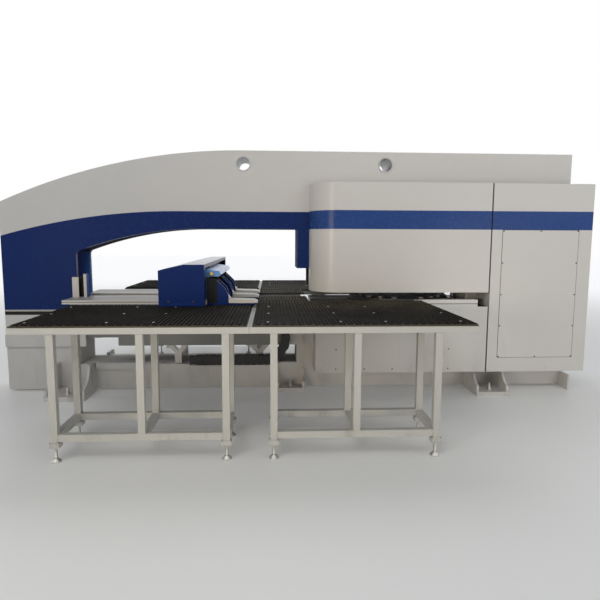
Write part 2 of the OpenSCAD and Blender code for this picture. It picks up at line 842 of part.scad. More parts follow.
// Steel plates on the left, flush with the brushes, with shallow grooves along their length; a strip of each
// goes on in front of the column.
plate_left = throat_left + 2;
plate_end = plate_left - 30;
plate_front = 500;
plate_z = [table_top - 33, table_top];
module centre_plates() {
    color(cream) both_sides() difference() {
        union() {
            block([plate_left, -plate_front, plate_z[0]], [centre_split_x, -slot_half, plate_z[1]]);
            block([plate_end, -plate_front, plate_z[0]], [plate_left - seam, -half_depth - 1, plate_z[1]]);
        }
        for (y = [-410, -320, -215])
            block([plate_end - cut, y, plate_z[1] - 4], [centre_split_x + cut, y + 8, plate_z[1] + cut]);
        block([plate_end - cut, -plate_front - cut, plate_z[0] + 14],
            [centre_split_x + cut, -plate_front + 3, plate_z[0] + 19]);
    }
}

// Long bars beside the slot and arms under the centre tables; the bars end on the column and on the
// lower jaw.
bar_w = 40;
module table_brackets() {
    top = mat_z;
    bottom = top - 50;
    color(grey) both_sides() {
        block([throat_left, -slot_half - bar_w, bottom], [centre_split_x, -slot_half, plate_z[0]]);
        block([centre_split_x, -slot_half - bar_w, bottom], [throat_right + 50, -slot_half, top]);
        block([throat_right + 10, -slot_half - bar_w, jaw_gap_z[0]], [throat_right + 50, -slot_half, bottom]);
        for (x = [plate_left + bar_w, -1500, -1120, centre_split_x - bar_w])
            block([x, -plate_front, bottom], [x + bar_w, -slot_half - bar_w, plate_z[0]]);
        for (y = [-plate_front, -slot_half - bar_w])
            block([plate_left + bar_w, y, bottom], [centre_split_x, y + bar_w, plate_z[0]]);
        block([-560, -table_inner_left + centre_gap, bottom], [-560 + bar_w, -slot_half - bar_w, top]);
        block([-200, -table_inner_right + centre_gap, bottom], [-200 + bar_w, -slot_half - bar_w, top]);
    }
}

// Round heads of the bolts that hold the mats.
bolt_x = [-1745, -1245, -955, -235, 230, 521, 1012];
bolt_y = [1715, 1320, 954];
module table_bolts() {
    color(zinc) both_sides() for (x = bolt_x, y = bolt_y)
        if (!(x == bolt_x[6] && y == bolt_y[2])) bar_z(x, -y, table_top, table_top + 2, 8);
}

// Levelling feet under the corner legs: a square collar, a threaded stem with a nut, and a domed pad.
pad_r = 31;
module levelling_foot(x, y) {
    collar = table_tube / 2 + 9;
    bar_z(x, y, 14, leg_bottom, 8);
    block([x - collar, y - collar, leg_bottom], [x + collar, y + collar, leg_bottom + collar_h]);
    translate([x, y, leg_bottom - 12]) cylinder(r = 14, h = 12, $fn = 6);
    bar_z(x, y, 0, 8, pad_r);
    translate([x, y, 8]) cylinder(r1 = pad_r, r2 = 15, h = 16);
}

module levelling_feet() {
    h = table_tube / 2;
    color(steel) both_sides() for (x = [legs_left[0], legs_left[2], legs_right[0], legs_right[2]],
        y = leg_rows)
        levelling_foot(x + h, y + h);
}

// An open channel post at the end of the front centre plate, which carries the hoses: a wide flange on
// the left, a taller, narrow one on the right and a web behind them.
post_x = [-1988, -1932, -1888, -1862];
post_y = [-265, -257, -214, -206];
post_top = [1056, 1085];
module hose_post() {
    base = plate_z[1];
    color(cream) {
        block([post_x[0], post_y[0], base], [post_x[1], post_y[1], post_top[0]]);
        block([post_x[0], post_y[0], base], [post_x[0] + 8, post_y[3], post_top[0]]);
        block([post_x[0], post_y[2], base], [post_x[3], post_y[3], post_top[0]]);
        block([post_x[3] - 8, post_y[0], base], [post_x[3], post_y[3], post_top[1]]);
        block([post_x[2], post_y[0], base], [post_x[3], post_y[1], post_top[1]]);
    }
}

// The bed across the throat that carries the beam's rails: a box with an open underside.
bed_x = [throat_left, -60];
bed_z = [420, 530];
bed_full_left = -1620;
bed_wall = 16;
module rail_bed() {
    color(grey) {
        difference() {
            block([bed_full_left, -half_depth, bed_z[0]], [bed_x[1], half_depth, bed_z[1]]);
            block([bed_full_left + bed_wall, -half_depth + bed_wall, bed_z[0] - cut],
                [bed_x[1] - bed_wall, half_depth - bed_wall, bed_z[1] - bed_wall]);
        }
        block([bed_x[0], -inner_depth, bed_z[1] - 40], [bed_full_left, inner_depth, bed_z[1]]);
        block([bed_x[1], -inner_depth, bed_z[1] - 40], [throat_right, inner_depth, bed_z[1]]);
    }
}

// Posts with sloped brackets between the base beam and the bed.
post_half = 62;
module rail_bed_posts() {
    color(white) for (x = [-1080, -330]) both_sides() {
        side(-half_depth + 6, -half_depth + 46) polygon([
            [x - post_half / 2, throat_floor], [x + post_half / 2, throat_floor], [x + post_half / 2, 350],
            [x + 100, bed_z[0]], [x + 40, bed_z[0]], [x, 372], [x - 40, bed_z[0]], [x - 100, bed_z[0]],
            [x - post_half / 2, 350]]);
    }
}

// Linear rails on the bed, as long as the saddle's travel.
saddle_x = [-1130, -690];
rail_y = 140;
y_rail_w = 34;
y_rail_top = bed_z[1] + 30;
y_rail_x = [saddle_x[0] + beam_travel[0] - 120, saddle_x[1] + beam_travel[1] + 60];
module rail_profile(w, h) {
    polygon([[-w / 2, 0], [w / 2, 0], [w / 2, h * 0.45], [w * 0.36, h * 0.6], [w * 0.36, h * 0.7],
        [w / 2, h * 0.85], [w / 2, h], [-w / 2, h], [-w / 2, h * 0.85], [-w * 0.36, h * 0.7],
        [-w * 0.36, h * 0.6], [-w / 2, h * 0.45]]);
}

module y_rails() {
    color(steel) both_sides() cross(y_rail_x[0], y_rail_x[1])
        translate([-rail_y, bed_z[1]]) rail_profile(y_rail_w, 30);
}

// Bearing stands of the long ball screw on the bed.
screw_z = 598;
y_screw_r = 20;
module y_screw_supports() {
    color(dark) for (x = [y_rail_x[0] - 30, y_rail_x[1] - 30]) difference() {
        union() {
            block([x, -60, bed_z[1]], [x + 40, 60, bed_z[1] + 30]);
            cross(x, x + 40) translate([-45, bed_z[1] + 30]) square([90, 80]);
        }
        bar_x(x - cut, x + 40 + cut, 0, screw_z, y_screw_r - 4 + run_fit);
    }
}

module y_drive_motor() {
    x = y_rail_x[0] - 30;
    color(dark) {
        difference() {
            block([x - 60, -55, screw_z - 55], [x, 55, screw_z + 55]);
            bar_x(x - 60 - cut, x + cut, 0, screw_z, 24);
        }
        block([throat_left + 12, -50, screw_z - 50], [x - 60, 50, screw_z + 50]);
    }
}

// A screw's turned thread as a row of shallow collars between its smooth ends.
module ball_screw(length, r, pitch) {
    cylinder(r = r - 1.5, h = length);
    for (z = [pitch : pitch : length - pitch]) translate([0, 0, z]) cylinder(r = r, h = pitch * 0.55);
}

module y_ball_screw() {
    left = y_rail_x[0] + 14;
    right = y_rail_x[1] - 34;
    color(steel) {
        bar_x(left - 84, left, 0, screw_z, y_screw_r - 4);
        translate([left, 0, screw_z]) rotate([0, 90, 0]) ball_screw(right - left, y_screw_r, 50);
        bar_x(right, right + 44, 0, screw_z, y_screw_r - 4);
    }
}

// The saddle: plate on four runner blocks, ball nut, and the neck that reaches up through the slot.
beam_z = [925, 1150];
rail_fit = 0.4;
beam_mid = (beam_x[0] + beam_x[1]) / 2;
neck_half = 105;
module saddle() {
    color(dark) {
        block([saddle_x[0], -190, screw_z + 40], [saddle_x[1], 190, screw_z + 75]);
        for (x = [saddle_x[0] + 20, saddle_x[1] - 130], y = [-rail_y, rail_y]) difference() {
            block([x, y - 42, bed_z[1] + 6], [x + 110, y + 42, screw_z + 40]);
            cross(x - cut, x + 110 + cut) translate([y, bed_z[1]]) {
                translate([0, -rail_fit]) rail_profile(y_rail_w + 2 * rail_fit, 30 + 2 * rail_fit);
            }
        }
        difference() {
            block([beam_mid - 60, -40, screw_z - 34], [beam_mid + 60, 40, screw_z + 40]);
            bar_x(beam_mid - 60 - cut, beam_mid + 60 + cut, 0, screw_z, y_screw_r + 0.3);
        }
        for (y = [-neck_half, neck_half - 20])
            block([beam_mid - 120, y, screw_z + 75], [beam_mid + 120, y + 20, beam_z[0]]);
        for (x = [beam_mid - 120, beam_mid + 100])
            block([x, -neck_half + 20, screw_z + 75], [x + 20, neck_half - 20, beam_z[0]]);
        block([beam_mid - 50, chain_y[0] - 8, chain_low + 2 * chain_out + 1],
            [beam_mid + 30, -neck_half, chain_low + 2 * chain_out + 9]);
    }
}

// The beam: a closed box tube across the machine, with brackets that carry the hood.
beam_box_x = [beam_x[0] + 30, beam_x[1] - 57];
beam_wall = 12;
hood_t = 4;
beam_end = beam_half - hood_t;
module x_beam() {
    w = beam_wall;
    color(dark) difference() {
        block([beam_box_x[0], -beam_end, beam_z[0]], [beam_box_x[1], beam_end, beam_z[1]]);
        block([beam_box_x[0] + w, -beam_end + w, beam_z[0] + w],
            [beam_box_x[1] - w, beam_end - w, beam_z[1] - w]);
    }
    for (y = [-700, -20, 660]) {
        color(dark) block([beam_x[0] + hood_t, y, 1010], [beam_box_x[0] - seam, y + 40, 1090]);
        color(dark) block([hood_shoulder[0] + 5, y, beam_z[1] + seam],
            [beam_box_x[1], y + 40, hood_z[1] - hood_t]);
    }
}

// The blue hood: sloped lid, left side and deep end caps that hang in front of the plates.
hood_end = 60;
hood_shoulder = [beam_x[0] + 195, hood_z[1]];
function hood_points(t, bottom) = [
    [beam_x[0] + t, bottom], [beam_x[0] + t, 1155 - t], [beam_x[0] + 42, 1168 - t],
    [hood_shoulder[0], hood_shoulder[1] - t], [beam_x[1] - t, hood_z[1] - t], [beam_x[1] - t, bottom]];
hood_mid_bottom = 916;
module beam_hood() {
    t = hood_t;
    color(blue) {
        side(-beam_half, -beam_half + 4) polygon(hood_points(0, hood_z[0]));
        side(beam_half - 4, beam_half) polygon(hood_points(0, hood_z[0]));
        both_sides() side(-beam_half + 4, -beam_half + hood_end) difference() {
            polygon(hood_points(0, hood_z[0]));
            polygon(hood_points(t, hood_z[0] + t));
            translate([beam_x[0] + t, hood_z[0] - cut]) square([beam_x[1] - beam_x[0] - 2 * t, t + 2 * cut]);
        }
        side(-beam_half + hood_end, beam_half - hood_end) difference() {
            polygon(hood_points(0, hood_mid_bottom));
            polygon(hood_points(t, hood_mid_bottom - cut));
            translate([beam_x[1] - 60, hood_mid_bottom - cut]) square([60 + cut, 262]);
        }
    }
}

// Rails on the beam's right side, for the clamp carriage.
carriage_y = [-800, 100];
x_rail_z = [975, 1090];
x_rail_w = 23;
x_rail_h = 18;
x_rail_y = [carriage_y[0] + carriage_travel[0] + 2, carriage_y[1] + carriage_travel[1] + 18];
module x_rail_shape(z, grow = 0) {
    translate([beam_box_x[1] - grow, z]) rotate(-90) rail_profile(x_rail_w + 2 * grow, x_rail_h + 2 * grow);
}

module x_rails() {
    color(steel) for (z = x_rail_z) side(x_rail_y[0], x_rail_y[1]) x_rail_shape(z);
}

// The ball screw that moves the carriage, between the two rails.
x_screw = [beam_box_x[1] + 19, 1032];
x_screw_r = 11;
x_screw_y = [-886, 728];
module x_ball_screw() {
    color(steel) {
        translate([x_screw[0], x_screw_y[1], x_screw[1]]) rotate([90, 0, 0])
            ball_screw(x_screw_y[1] - x_screw_y[0], x_screw_r, 32);
        bar_y(x_screw[0], x_screw_y[1], x_screw_y[1] + 18, x_screw[1], x_screw_r - 3);
    }
}

// The motor at the beam's rear end, with the screw's two bearing stands.
module x_drive_motor() {
    face = beam_box_x[1];
    stand = 26;
    color(dark) {
        for (y = [x_screw_y[0] - 2, x_screw_y[1] - stand]) difference() {
            block([face, y, x_screw[1] - 24], [face + 38, y + stand, x_screw[1] + 24]);
            bar_y(x_screw[0], y - cut, y + stand + cut, x_screw[1], x_screw_r + run_fit);
        }
        difference() {
            block([face, x_screw_y[1] + 4, x_screw[1] - 27],
                [face + 52, x_screw_y[1] + 152, x_screw[1] + 27]);
            bar_y(x_screw[0], x_screw_y[1], x_screw_y[1] + 24, x_screw[1], x_screw_r);
        }
    }
}

// The carriage: a plate on runner blocks, with the nut, and a light housing along its top.
carriage_x = [beam_box_x[1] + 33, beam_box_x[1] + 64];
carriage_z = [925, 1100];
runner = 80;
module clamp_carriage() {
    face = beam_box_x[1] + 2;
    color(blue) block([carriage_x[0], carriage_y[0], carriage_z[0]],
        [carriage_x[1], carriage_y[1], carriage_z[1]]);
    color(steel) for (y = [carriage_y[0] + 20, carriage_y[1] - 20 - runner], z = x_rail_z) difference() {
        block([face, y, z - 27], [carriage_x[0], y + runner, z + 27]);
        side(y - cut, y + runner + cut) x_rail_shape(z, 0.4);
    }
    color(steel) difference() {
        block([face, -390, x_screw[1] - 24], [carriage_x[0], -310, x_screw[1] + 24]);
        bar_y(x_screw[0], -400, -300, x_screw[1], x_screw_r + 0.3);
    }
    color(light_blue) side(carriage_y[0], carriage_y[1]) polygon([
        [carriage_x[0], carriage_z[1]], [carriage_x[1] + 92, carriage_z[1]],
            [carriage_x[1] + 110, carriage_z[1] + 16],
        [carriage_x[1] + 96, carriage_z[1] + 44], [carriage_x[0] + 20, carriage_z[1] + 60],
        [carriage_x[0], carriage_z[1] + 44]]);
}

// A clamp: two side plates, back plate, lower jaw, pivot pin and air cylinder.
clamp_y = [-775, -350, 20];
clamp_half = 75;
clamp_plate = 14;
clamp_tip = -325;
jaw_z = [878, pass_line - 2];
pivot = [-600, 945];
pivot_r = 10;
air_x = -664;
module clamp_body() {
    back = carriage_x[1];
    for (y = [-clamp_half, clamp_half - clamp_plate]) color(blue) side(y, y + clamp_plate) polygon([
        [back, jaw_z[1]], [pivot[0] + 40, jaw_z[1]], [pivot[0] + 44, 950], [pivot[0] + 20, 1010],
            [back + 70, 1085],
        [back, 1098]]);
    color(blue) block([back, -clamp_half + clamp_plate, jaw_z[1]],
        [back + 16, clamp_half - clamp_plate, 1080]);
    color(cream) block([back, -clamp_half, jaw_z[0]], [clamp_tip, clamp_half, jaw_z[1]]);
    color(steel) bar_y(pivot[0], -clamp_half - 4, clamp_half + 4, pivot[1], pivot_r);
    color(zinc) {
        bar_z(air_x, 0, 1010, 1070, 30);
        block([back + 16, -20, 1050], [air_x, 20, 1070]);
    }
}

module clamp_bodies() {
    for (y = clamp_y) translate([0, y, 0]) clamp_body();
}

// The upper jaw: a rocking arm with a broad tip over the sheet, and a lever under the air cylinder.
jaw_gap_sheet = 4;
module clamp_jaw(y) {
    arm = clamp_half - clamp_plate - 2;
    low = jaw_z[1] + jaw_gap_sheet;
    translate([0, y, 0]) {
        color(cream) difference() {
            union() {
                side(-arm, arm) polygon([
                    [pivot[0] + 56, low], [pivot[0] + 56, 926], [pivot[0] + 24, 962], [pivot[0] - 14, 968],
                    [air_x - 24, 990], [air_x - 24, 972], [pivot[0] - 22, 930], [pivot[0] + 10, low]]);
                side(-clamp_half, clamp_half) polygon([
                    [pivot[0] + 48, low], [clamp_tip, low], [clamp_tip, low + 10], [clamp_tip - 30, low + 22],
                    [pivot[0] + 48, low + 28]]);
            }
            bar_y(pivot[0], -clamp_half, clamp_half, pivot[1], pivot_r + run_fit);
        }
        color(steel) bar_z(air_x, 0, 975, 998, 12);
    }
}

module clamp_jaw_front() { clamp_jaw(clamp_y[0]); }
module clamp_jaw_middle() { clamp_jaw(clamp_y[1]); }
module clamp_jaw_rear() { clamp_jaw(clamp_y[2]); }

// The energy chain in front of the bed: lower run on the base beam, a half turn, and the upper run.
chain_y = [-292, -230];
chain_h = 90;
chain_out = 245;
chain_turn_x = -285;
chain_low = throat_floor;
chain_left = -965;
chain_pitch = 62;
link = 54;
module chain_band(inset) {
    mid = chain_low + chain_out;
    for (z = [chain_low, chain_low + 2 * chain_out - chain_h])
        translate([chain_left, z + inset]) square([chain_turn_x - chain_left, chain_h - 2 * inset]);
    intersection() {
        translate([chain_turn_x, mid]) difference() {
            circle(chain_out - inset, $fn = 120);
            circle(chain_out - chain_h + inset, $fn = 120);
        }
        translate([chain_turn_x, mid - chain_out]) square([chain_out, 2 * chain_out]);
    }
}

module energy_chain() {
    mid = chain_low + chain_out;
    straight_links = floor((chain_turn_x - chain_left) / chain_pitch);
    turn_links = 9;
    color(black) {
        side(chain_y[0] + 4, chain_y[1] - 4) chain_band(9);
        side(chain_y[0], chain_y[1]) {
            for (i = [0 : straight_links - 1], z = [chain_low, chain_low + 2 * chain_out - chain_h])
                translate([chain_turn_x - (i + 1) * chain_pitch + 4, z]) square([link, chain_h]);
            translate([chain_turn_x, mid]) for (i = [0 : turn_links - 1])
                rotate(-90 + (i + 0.5) * 180 / turn_links)
                    translate([chain_out - chain_h, -link / 2 + 4]) square([chain_h - 3, link - 8]);
        }
    }
}

frame_front_plate();
frame_rear_plate();
frame_crown_plate();
frame_throat_lining();
frame_end_plates();
frame_ribs();
base_beam();
lifting_tubes();
column_ledges();
machine_feet();
anchor_bolts();
rail_bed();
rail_bed_posts();
y_rails();
y_screw_supports();
y_drive_motor();
y_ball_screw();
turret_cover_front();
turret_cover_rear();
lower_cover_front();
lower_cover_rear();
cabinet_front();
cabinet_rear();
access_panels();
panel_screws();
turret_guard();
turret_bearing_blocks();
upper_turret();
lower_turret();
punches();
dies();
ram_cylinder();
ram();
turret_motor();
turret_drive_shaft();
index_pin_upper();
index_pin_lower();
left_front_table();
right_front_table();
left_rear_table();
right_rear_table();
brush_tops();
centre_brush_tops();
table_bolts();
levelling_feet();
table_brackets();
centre_plates();
hose_post();
saddle();
x_beam();
beam_hood();
x_rails();
x_ball_screw();
x_drive_motor();
clamp_carriage();
clamp_bodies();
clamp_jaw_front();
clamp_jaw_middle();
clamp_jaw_rear();
energy_chain();
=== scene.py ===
"""Finishes, brush mats, weld seams and studio for the CNC turret punch press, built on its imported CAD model."""
import math

import bmesh
import bpy
from bpy.props import FloatProperty, FloatVectorProperty, IntProperty, PointerProperty
from mathutils import Matrix, Vector, noise


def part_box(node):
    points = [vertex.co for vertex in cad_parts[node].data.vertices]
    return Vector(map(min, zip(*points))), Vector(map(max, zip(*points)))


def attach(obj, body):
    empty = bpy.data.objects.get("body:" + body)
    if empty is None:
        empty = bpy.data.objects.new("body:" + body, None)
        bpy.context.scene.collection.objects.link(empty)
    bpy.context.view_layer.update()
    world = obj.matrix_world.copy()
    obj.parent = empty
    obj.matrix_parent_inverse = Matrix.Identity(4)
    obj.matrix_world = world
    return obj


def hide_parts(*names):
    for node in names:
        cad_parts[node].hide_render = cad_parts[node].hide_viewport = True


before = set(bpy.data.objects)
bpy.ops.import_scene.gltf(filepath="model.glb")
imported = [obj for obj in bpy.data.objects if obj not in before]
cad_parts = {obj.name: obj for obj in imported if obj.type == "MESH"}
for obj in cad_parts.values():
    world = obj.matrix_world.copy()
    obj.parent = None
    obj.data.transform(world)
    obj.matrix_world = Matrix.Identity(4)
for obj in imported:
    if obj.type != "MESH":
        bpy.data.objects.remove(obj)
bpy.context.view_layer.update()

bl_info = {
    "name": "Turret punch press",
    "version": (1, 0, 0),
    "blender": (4, 5, 0),
    "location": "3D View > Sidebar > Punch press",
    "description": "Enamels, ground steel, brush mats, welds and a studio for a turret punch press",
    "category": "Object",
}


# Shader maths

class Term:
    """One output socket that Python's +, - and * work on: each adds the Math node it needs."""

    def __init__(self, finish, socket):
        self.finish = finish
        self.socket = socket

    def math(self, operation, *operands):
        return self.finish.node("ShaderNodeMath", {"operation": operation}, operands)

    def __add__(self, other): return self.math("ADD", self, other)
    def __sub__(self, other): return self.math("SUBTRACT", self, other)
    def __rsub__(self, other): return self.math("SUBTRACT", other, self)
    def __mul__(self, other): return self.math("MULTIPLY", self, other)
    def most(self, other): return self.math("MAXIMUM", self, other)
    def size(self): return self.math("ABSOLUTE", self)
    def wave(self): return self.math("SINE", self)
    def root(self): return self.math("SQRT", self)

    def rise(self, low, high):
        """0 below low, 1 above high, smooth between."""
        return self.finish.node("ShaderNodeMapRange", {"interpolation_type": "SMOOTHSTEP"},
                                {0: self, 1: low, 2: high, 3: 0.0, 4: 1.0})

    def fall(self, low, high):
        """1 below low, 0 above high, smooth between."""
        return 1.0 - self.rise(low, high)

    def band(self, low, high, soft):
        """1 between low and high, 0 outside."""
        return self.rise(low - soft, low + soft) * self.fall(high - soft, high + soft)


class Finish:
    """A material: its shader, the place on the piece in metres, and the few patterns that the finishes share."""

    def __init__(self, name, **fixed):
        self.material = bpy.data.materials.new(name)
        self.material.use_nodes = True
        self.tree = self.material.node_tree
        self.tree.nodes.clear()
        self.shader = self.tree.nodes.new("ShaderNodeBsdfPrincipled")
        output = self.tree.nodes.new("ShaderNodeOutputMaterial")
        self.tree.links.new(self.shader.outputs[0], output.inputs[0])
        for key, value in fixed.items():
            self.shader.inputs[key.replace("_", " ")].default_value = value
        self.place = self.node("ShaderNodeTexCoord", out="Object")
        split = self.node("ShaderNodeSeparateXYZ", (), [self.place])
        self.x, self.y, self.z = (Term(self, split.socket.node.outputs[i]) for i in range(3))

    def node(self, kind, settings=(), sockets=(), out=0):
        """Adds a node, sets what it is, then gives its sockets numbers or links."""
        made = self.tree.nodes.new(kind)
        for key, value in dict(settings).items():
            setattr(made, key, value)
        for key, value in (sockets.items() if isinstance(sockets, dict) else enumerate(sockets)):
            self.join(value, made.inputs[key])
        return Term(self, made.outputs[out])

    def join(self, value, socket):
        if isinstance(value, Term):
            self.tree.links.new(value.socket, socket)
        elif socket.type == "RGBA" and len(value) == 3:
            socket.default_value = (*value, 1.0)
        else:
            socket.default_value = value

    def stretched(self, x, y, z):
        """The place with each axis scaled, so that a pattern on it runs in streaks."""
        return self.node("ShaderNodeVectorMath", {"operation": "MULTIPLY"}, [self.place, (x, y, z)])

    def noise(self, scale, detail=3.0, rough=0.5, place=None):
        return self.node("ShaderNodeTexNoise", (), {"Vector": place or self.place, "Scale": scale, "Detail": detail,
                                                    "Roughness": rough})

    def cells(self, scale):
        return self.node("ShaderNodeTexVoronoi", (), {"Vector": self.place, "Scale": scale}, "Distance")

    def cloud(self):
        """The faint unevenness of sprayed paint."""
        return self.noise(1.7, 3.0, 0.55) * 0.6 + self.noise(11.0, 3.0, 0.5) * 0.4

    def mix(self, factor, first, second):
        return self.node("ShaderNodeMix", {"data_type": "RGBA"}, {0: factor, 6: first, 7: second}, 2)

    def tint(self, colour, amount, dark, light):
        """The colour between its darker and its lighter self."""
        return self.mix(amount, tuple(c * dark for c in colour), tuple(min(c * light, 1.0) for c in colour))

    def relief(self, height, depth, below=None):
        """A bump of that depth in metres, on top of the one below it."""
        bump = {"Height": height, "Distance": depth, "Strength": 1.0}
        if below is not None:
            bump["Normal"] = below
        return self.node("ShaderNodeBump", (), bump)

    def give(self, **sockets):
        """Sets or links the shader's own sockets and returns the material."""
        for key, value in sockets.items():
            self.join(value, self.shader.inputs[key.replace("_", " ")])
        return self.material


ENAMEL = {"Coat_Roughness": 0.2, "IOR": 1.45, "Specular_IOR_Level": 0.14}
ORANGE_PEEL = 0.00035
SHEET_WAVE = 0.006
ZINC = (0.56, 0.55, 0.52)
TOOL_MARK_PITCH = 0.0012


def facing_up(finish, low=0.35, high=0.95):
    """1 where the surface faces the ceiling."""
    normal = finish.node("ShaderNodeNewGeometry", out="Normal")
    return finish.node("ShaderNodeSeparateXYZ", (), [normal], 2).rise(low, high)


def dusty(finish, colour, dust=(0.42, 0.39, 0.34), strength=0.3):
    """Fine dust that lies on what faces up, thicker in soft patches."""
    patches = finish.noise(3.1, 4.0, 0.6) * 0.7 + finish.noise(41.0, 2.0, 0.5) * 0.3
    cover = facing_up(finish) * patches.rise(0.35, 0.75) * strength
    return finish.mix(cover, colour, dust), cover


def handled(finish, colour, height=0.9, dark=(0.08, 0.075, 0.065), strength=0.25):
    """Scuffs and smears near the floor and where hands and sheets reach."""
    smear = finish.noise(5.0, 5.0, 0.65, finish.stretched(1.0, 1.0, 0.35))
    specks = finish.cells(38.0).rise(0.05, 0.16)
    low = finish.z.fall(0.05, height)
    mask = (smear.rise(0.52, 0.74) * 0.8 + (1.0 - specks) * 0.35) * low * strength
    return finish.mix(mask, colour, dark), mask


def aged(finish, base, marked, dirt, dust, rough):
    """Marks, scuffs and dust over a base colour: gives the colour and the roughness."""
    for place, colour in marked:
        base = finish.mix(place(finish), base, colour)
    base, scuffs = handled(finish, base, strength=dirt)
    base, cover = dusty(finish, base, strength=dust)
    return base, (finish.noise(24.0, 3.0, 0.6) * 0.16 + (rough - 0.08)) + scuffs * 0.3 + cover * 0.6


def enamel_relief(finish, panels=0.0):
    """Sprayed enamel: orange peel a few millimetres across, and on thin sheet the slow waves of the panel."""
    skin = finish.noise(190.0, 2.0, 0.5) * 0.6 + finish.noise(70.0, 2.0, 0.5) * 0.4
    normal = finish.relief(skin, ORANGE_PEEL)
    if panels:
        normal = finish.relief(finish.noise(2.3, 1.0, 0.4), panels, normal)
    return normal


def sprayed(name, colour, rough=0.34, panels=0.0, dirt=0.25, dust=0.3, variation=0.05, marked=(), coat=0.1,
            waxed_top=0.0, specular=0.14):
    """One-colour enamel with coat, orange peel, faint unevenness of the spray, dust and scuffs.

    marked holds pairs of a mask over the surface and the colour that shows there."""
    finish = Finish(name, **{**ENAMEL, "Coat_Weight": coat, "Specular_IOR_Level": specular})
    if waxed_top:
        finish.give(Coat_Weight=facing_up(finish, 0.1, 0.5) * waxed_top)
    base = finish.tint(colour, finish.cloud(), 1.0 - variation, 1.0 + variation)
    base, roughness = aged(finish, base, marked, dirt, dust, rough)
    return finish.give(Base_Color=base, Roughness=roughness, Normal=enamel_relief(finish, panels))


def two_tone(name, white, blue, line, low, panels=0.0, marked=(), ridge=None):
    """White over blue, with a border where the tape left a small step.

    line(finish) gives the border's height, low(finish) is 0 below the blue, ridge(finish) is 1 along a weld."""
    finish = Finish(name, **ENAMEL)
    cloud = finish.cloud()
    ragged = (finish.noise(60.0, 2.0, 0.5) - 0.5) * 0.0016
    above = finish.z - (line(finish) + ragged)
    blue_mask = above.fall(-0.0012, 0.0012) * low(finish)
    base = finish.mix(blue_mask, finish.tint(white, cloud, 0.95, 1.04), finish.tint(blue, cloud, 0.86, 1.18))
    base, roughness = aged(finish, base, marked, dirt=0.22, dust=0.28, rough=0.32)
    normal = finish.relief(above.size().rise(0.0, 0.004), 0.0004, enamel_relief(finish, panels))
    if ridge is not None:
        normal = finish.relief(ridge(finish), 0.003, normal)
    return finish.give(Base_Color=base, Roughness=roughness - blue_mask * 0.05, Coat_Weight=0.13 - blue_mask * 0.11,
                       Normal=normal)


def ground_steel(name, colour, rough, along_axis, oil=0.0):
    """Ground or milled steel: fine lines along one axis, soft stains, and a film of oil in places."""
    finish = Finish(name, Metallic=1.0)
    stretch = [0.02 if letter == along_axis else 1.0 for letter in "xyz"]
    lines = finish.noise(420.0, 3.0, 0.6, finish.stretched(*stretch))
    stain = finish.noise(9.0, 4.0, 0.6)
    base = finish.tint(colour, lines * 0.6 + stain * 0.4, 0.78, 1.16)
    spots = finish.noise(28.0, 5.0, 0.7).rise(0.62, 0.78) * 0.35
    base = finish.mix(spots, base, (0.10, 0.07, 0.045))
    roughness = lines * 0.18 + stain * 0.14 + (rough - 0.12) + spots * 0.3
    if oil:
        roughness = roughness - finish.noise(6.0, 3.0, 0.5).rise(0.4, 0.7) * oil
    return finish.give(Base_Color=base, Roughness=roughness, Normal=finish.relief(lines, 0.00012))


def turned_steel(name, colour, centre, axis, rough):
    """Lathe-turned steel: fine rings about an axis through centre."""
    finish = Finish(name, Metallic=1.0)
    parts = zip("xyz", (finish.x, finish.y, finish.z), centre)
    first, second = (place - at for letter, place, at in parts if letter != axis)
    radius = (first * first + second * second).root()
    rings = (radius * (math.tau / TOOL_MARK_PITCH)).wave() * 0.3 + finish.noise(150.0, 2.0, 0.5) * 0.5
    stain = finish.noise(14.0, 4.0, 0.6)
    base = finish.tint(colour, stain * 0.7 + rings * 0.3, 0.8, 1.15)
    return finish.give(Base_Color=base, Roughness=stain * 0.22 + (rough - 0.08),
                       Normal=finish.relief(rings, 0.00008))


def plated(name):
    """Zinc plating: bright flakes, dull handling marks and a little rust in spots."""
    finish = Finish(name, Metallic=0.9)
    flakes = finish.cells(160.0)
    stain = finish.noise(30.0, 4.0, 0.6)
    rust = finish.noise(75.0, 5.0, 0.7).rise(0.64, 0.8) * 0.5
    base = finish.mix(rust, finish.tint(ZINC, flakes * 0.5 + stain * 0.5, 0.72, 1.2), (0.23, 0.12, 0.06))
    return finish.give(Base_Color=base, Roughness=stain * 0.25 + 0.26 + rust * 0.3,
                       Normal=finish.relief(flakes, 0.0001))


def cast_paint(name, colour):
    """Rough casting under paint: a sandy skin with shallow pits."""
    finish = Finish(name, Coat_Weight=0.15, Coat_Roughness=0.35)
    sand = finish.noise(240.0, 3.0, 0.7) * 0.5 + finish.noise(60.0, 3.0, 0.6) * 0.5
    pits = finish.cells(55.0).rise(0.05, 0.22)
    base, cover = dusty(finish, finish.tint(colour, sand, 0.75, 1.3), strength=0.35)
    return finish.give(Base_Color=base, Roughness=sand * 0.25 + 0.4 + cover * 0.3,
                       Normal=finish.relief(sand * 0.7 + pits * 0.3, 0.0007))


def moulded(name, colour, rough, grain=0.0002, dust=0.3, coat=0.0):
    """Moulded plastic or baked paint: a fine grain, slight flow marks and dust in it."""
    finish = Finish(name, Coat_Weight=coat, Coat_Roughness=0.1, IOR=1.5)
    texture = finish.cells(420.0) * 0.6 + finish.noise(150.0, 2.0, 0.5) * 0.4
    flow = finish.noise(6.0, 3.0, 0.6)
    base, cover = dusty(finish, finish.tint(colour, flow, 0.85, 1.2), strength=dust)
    return finish.give(Base_Color=base, Roughness=flow * 0.14 + (rough - 0.07) + cover * 0.4,
                       Normal=finish.relief(texture, grain))


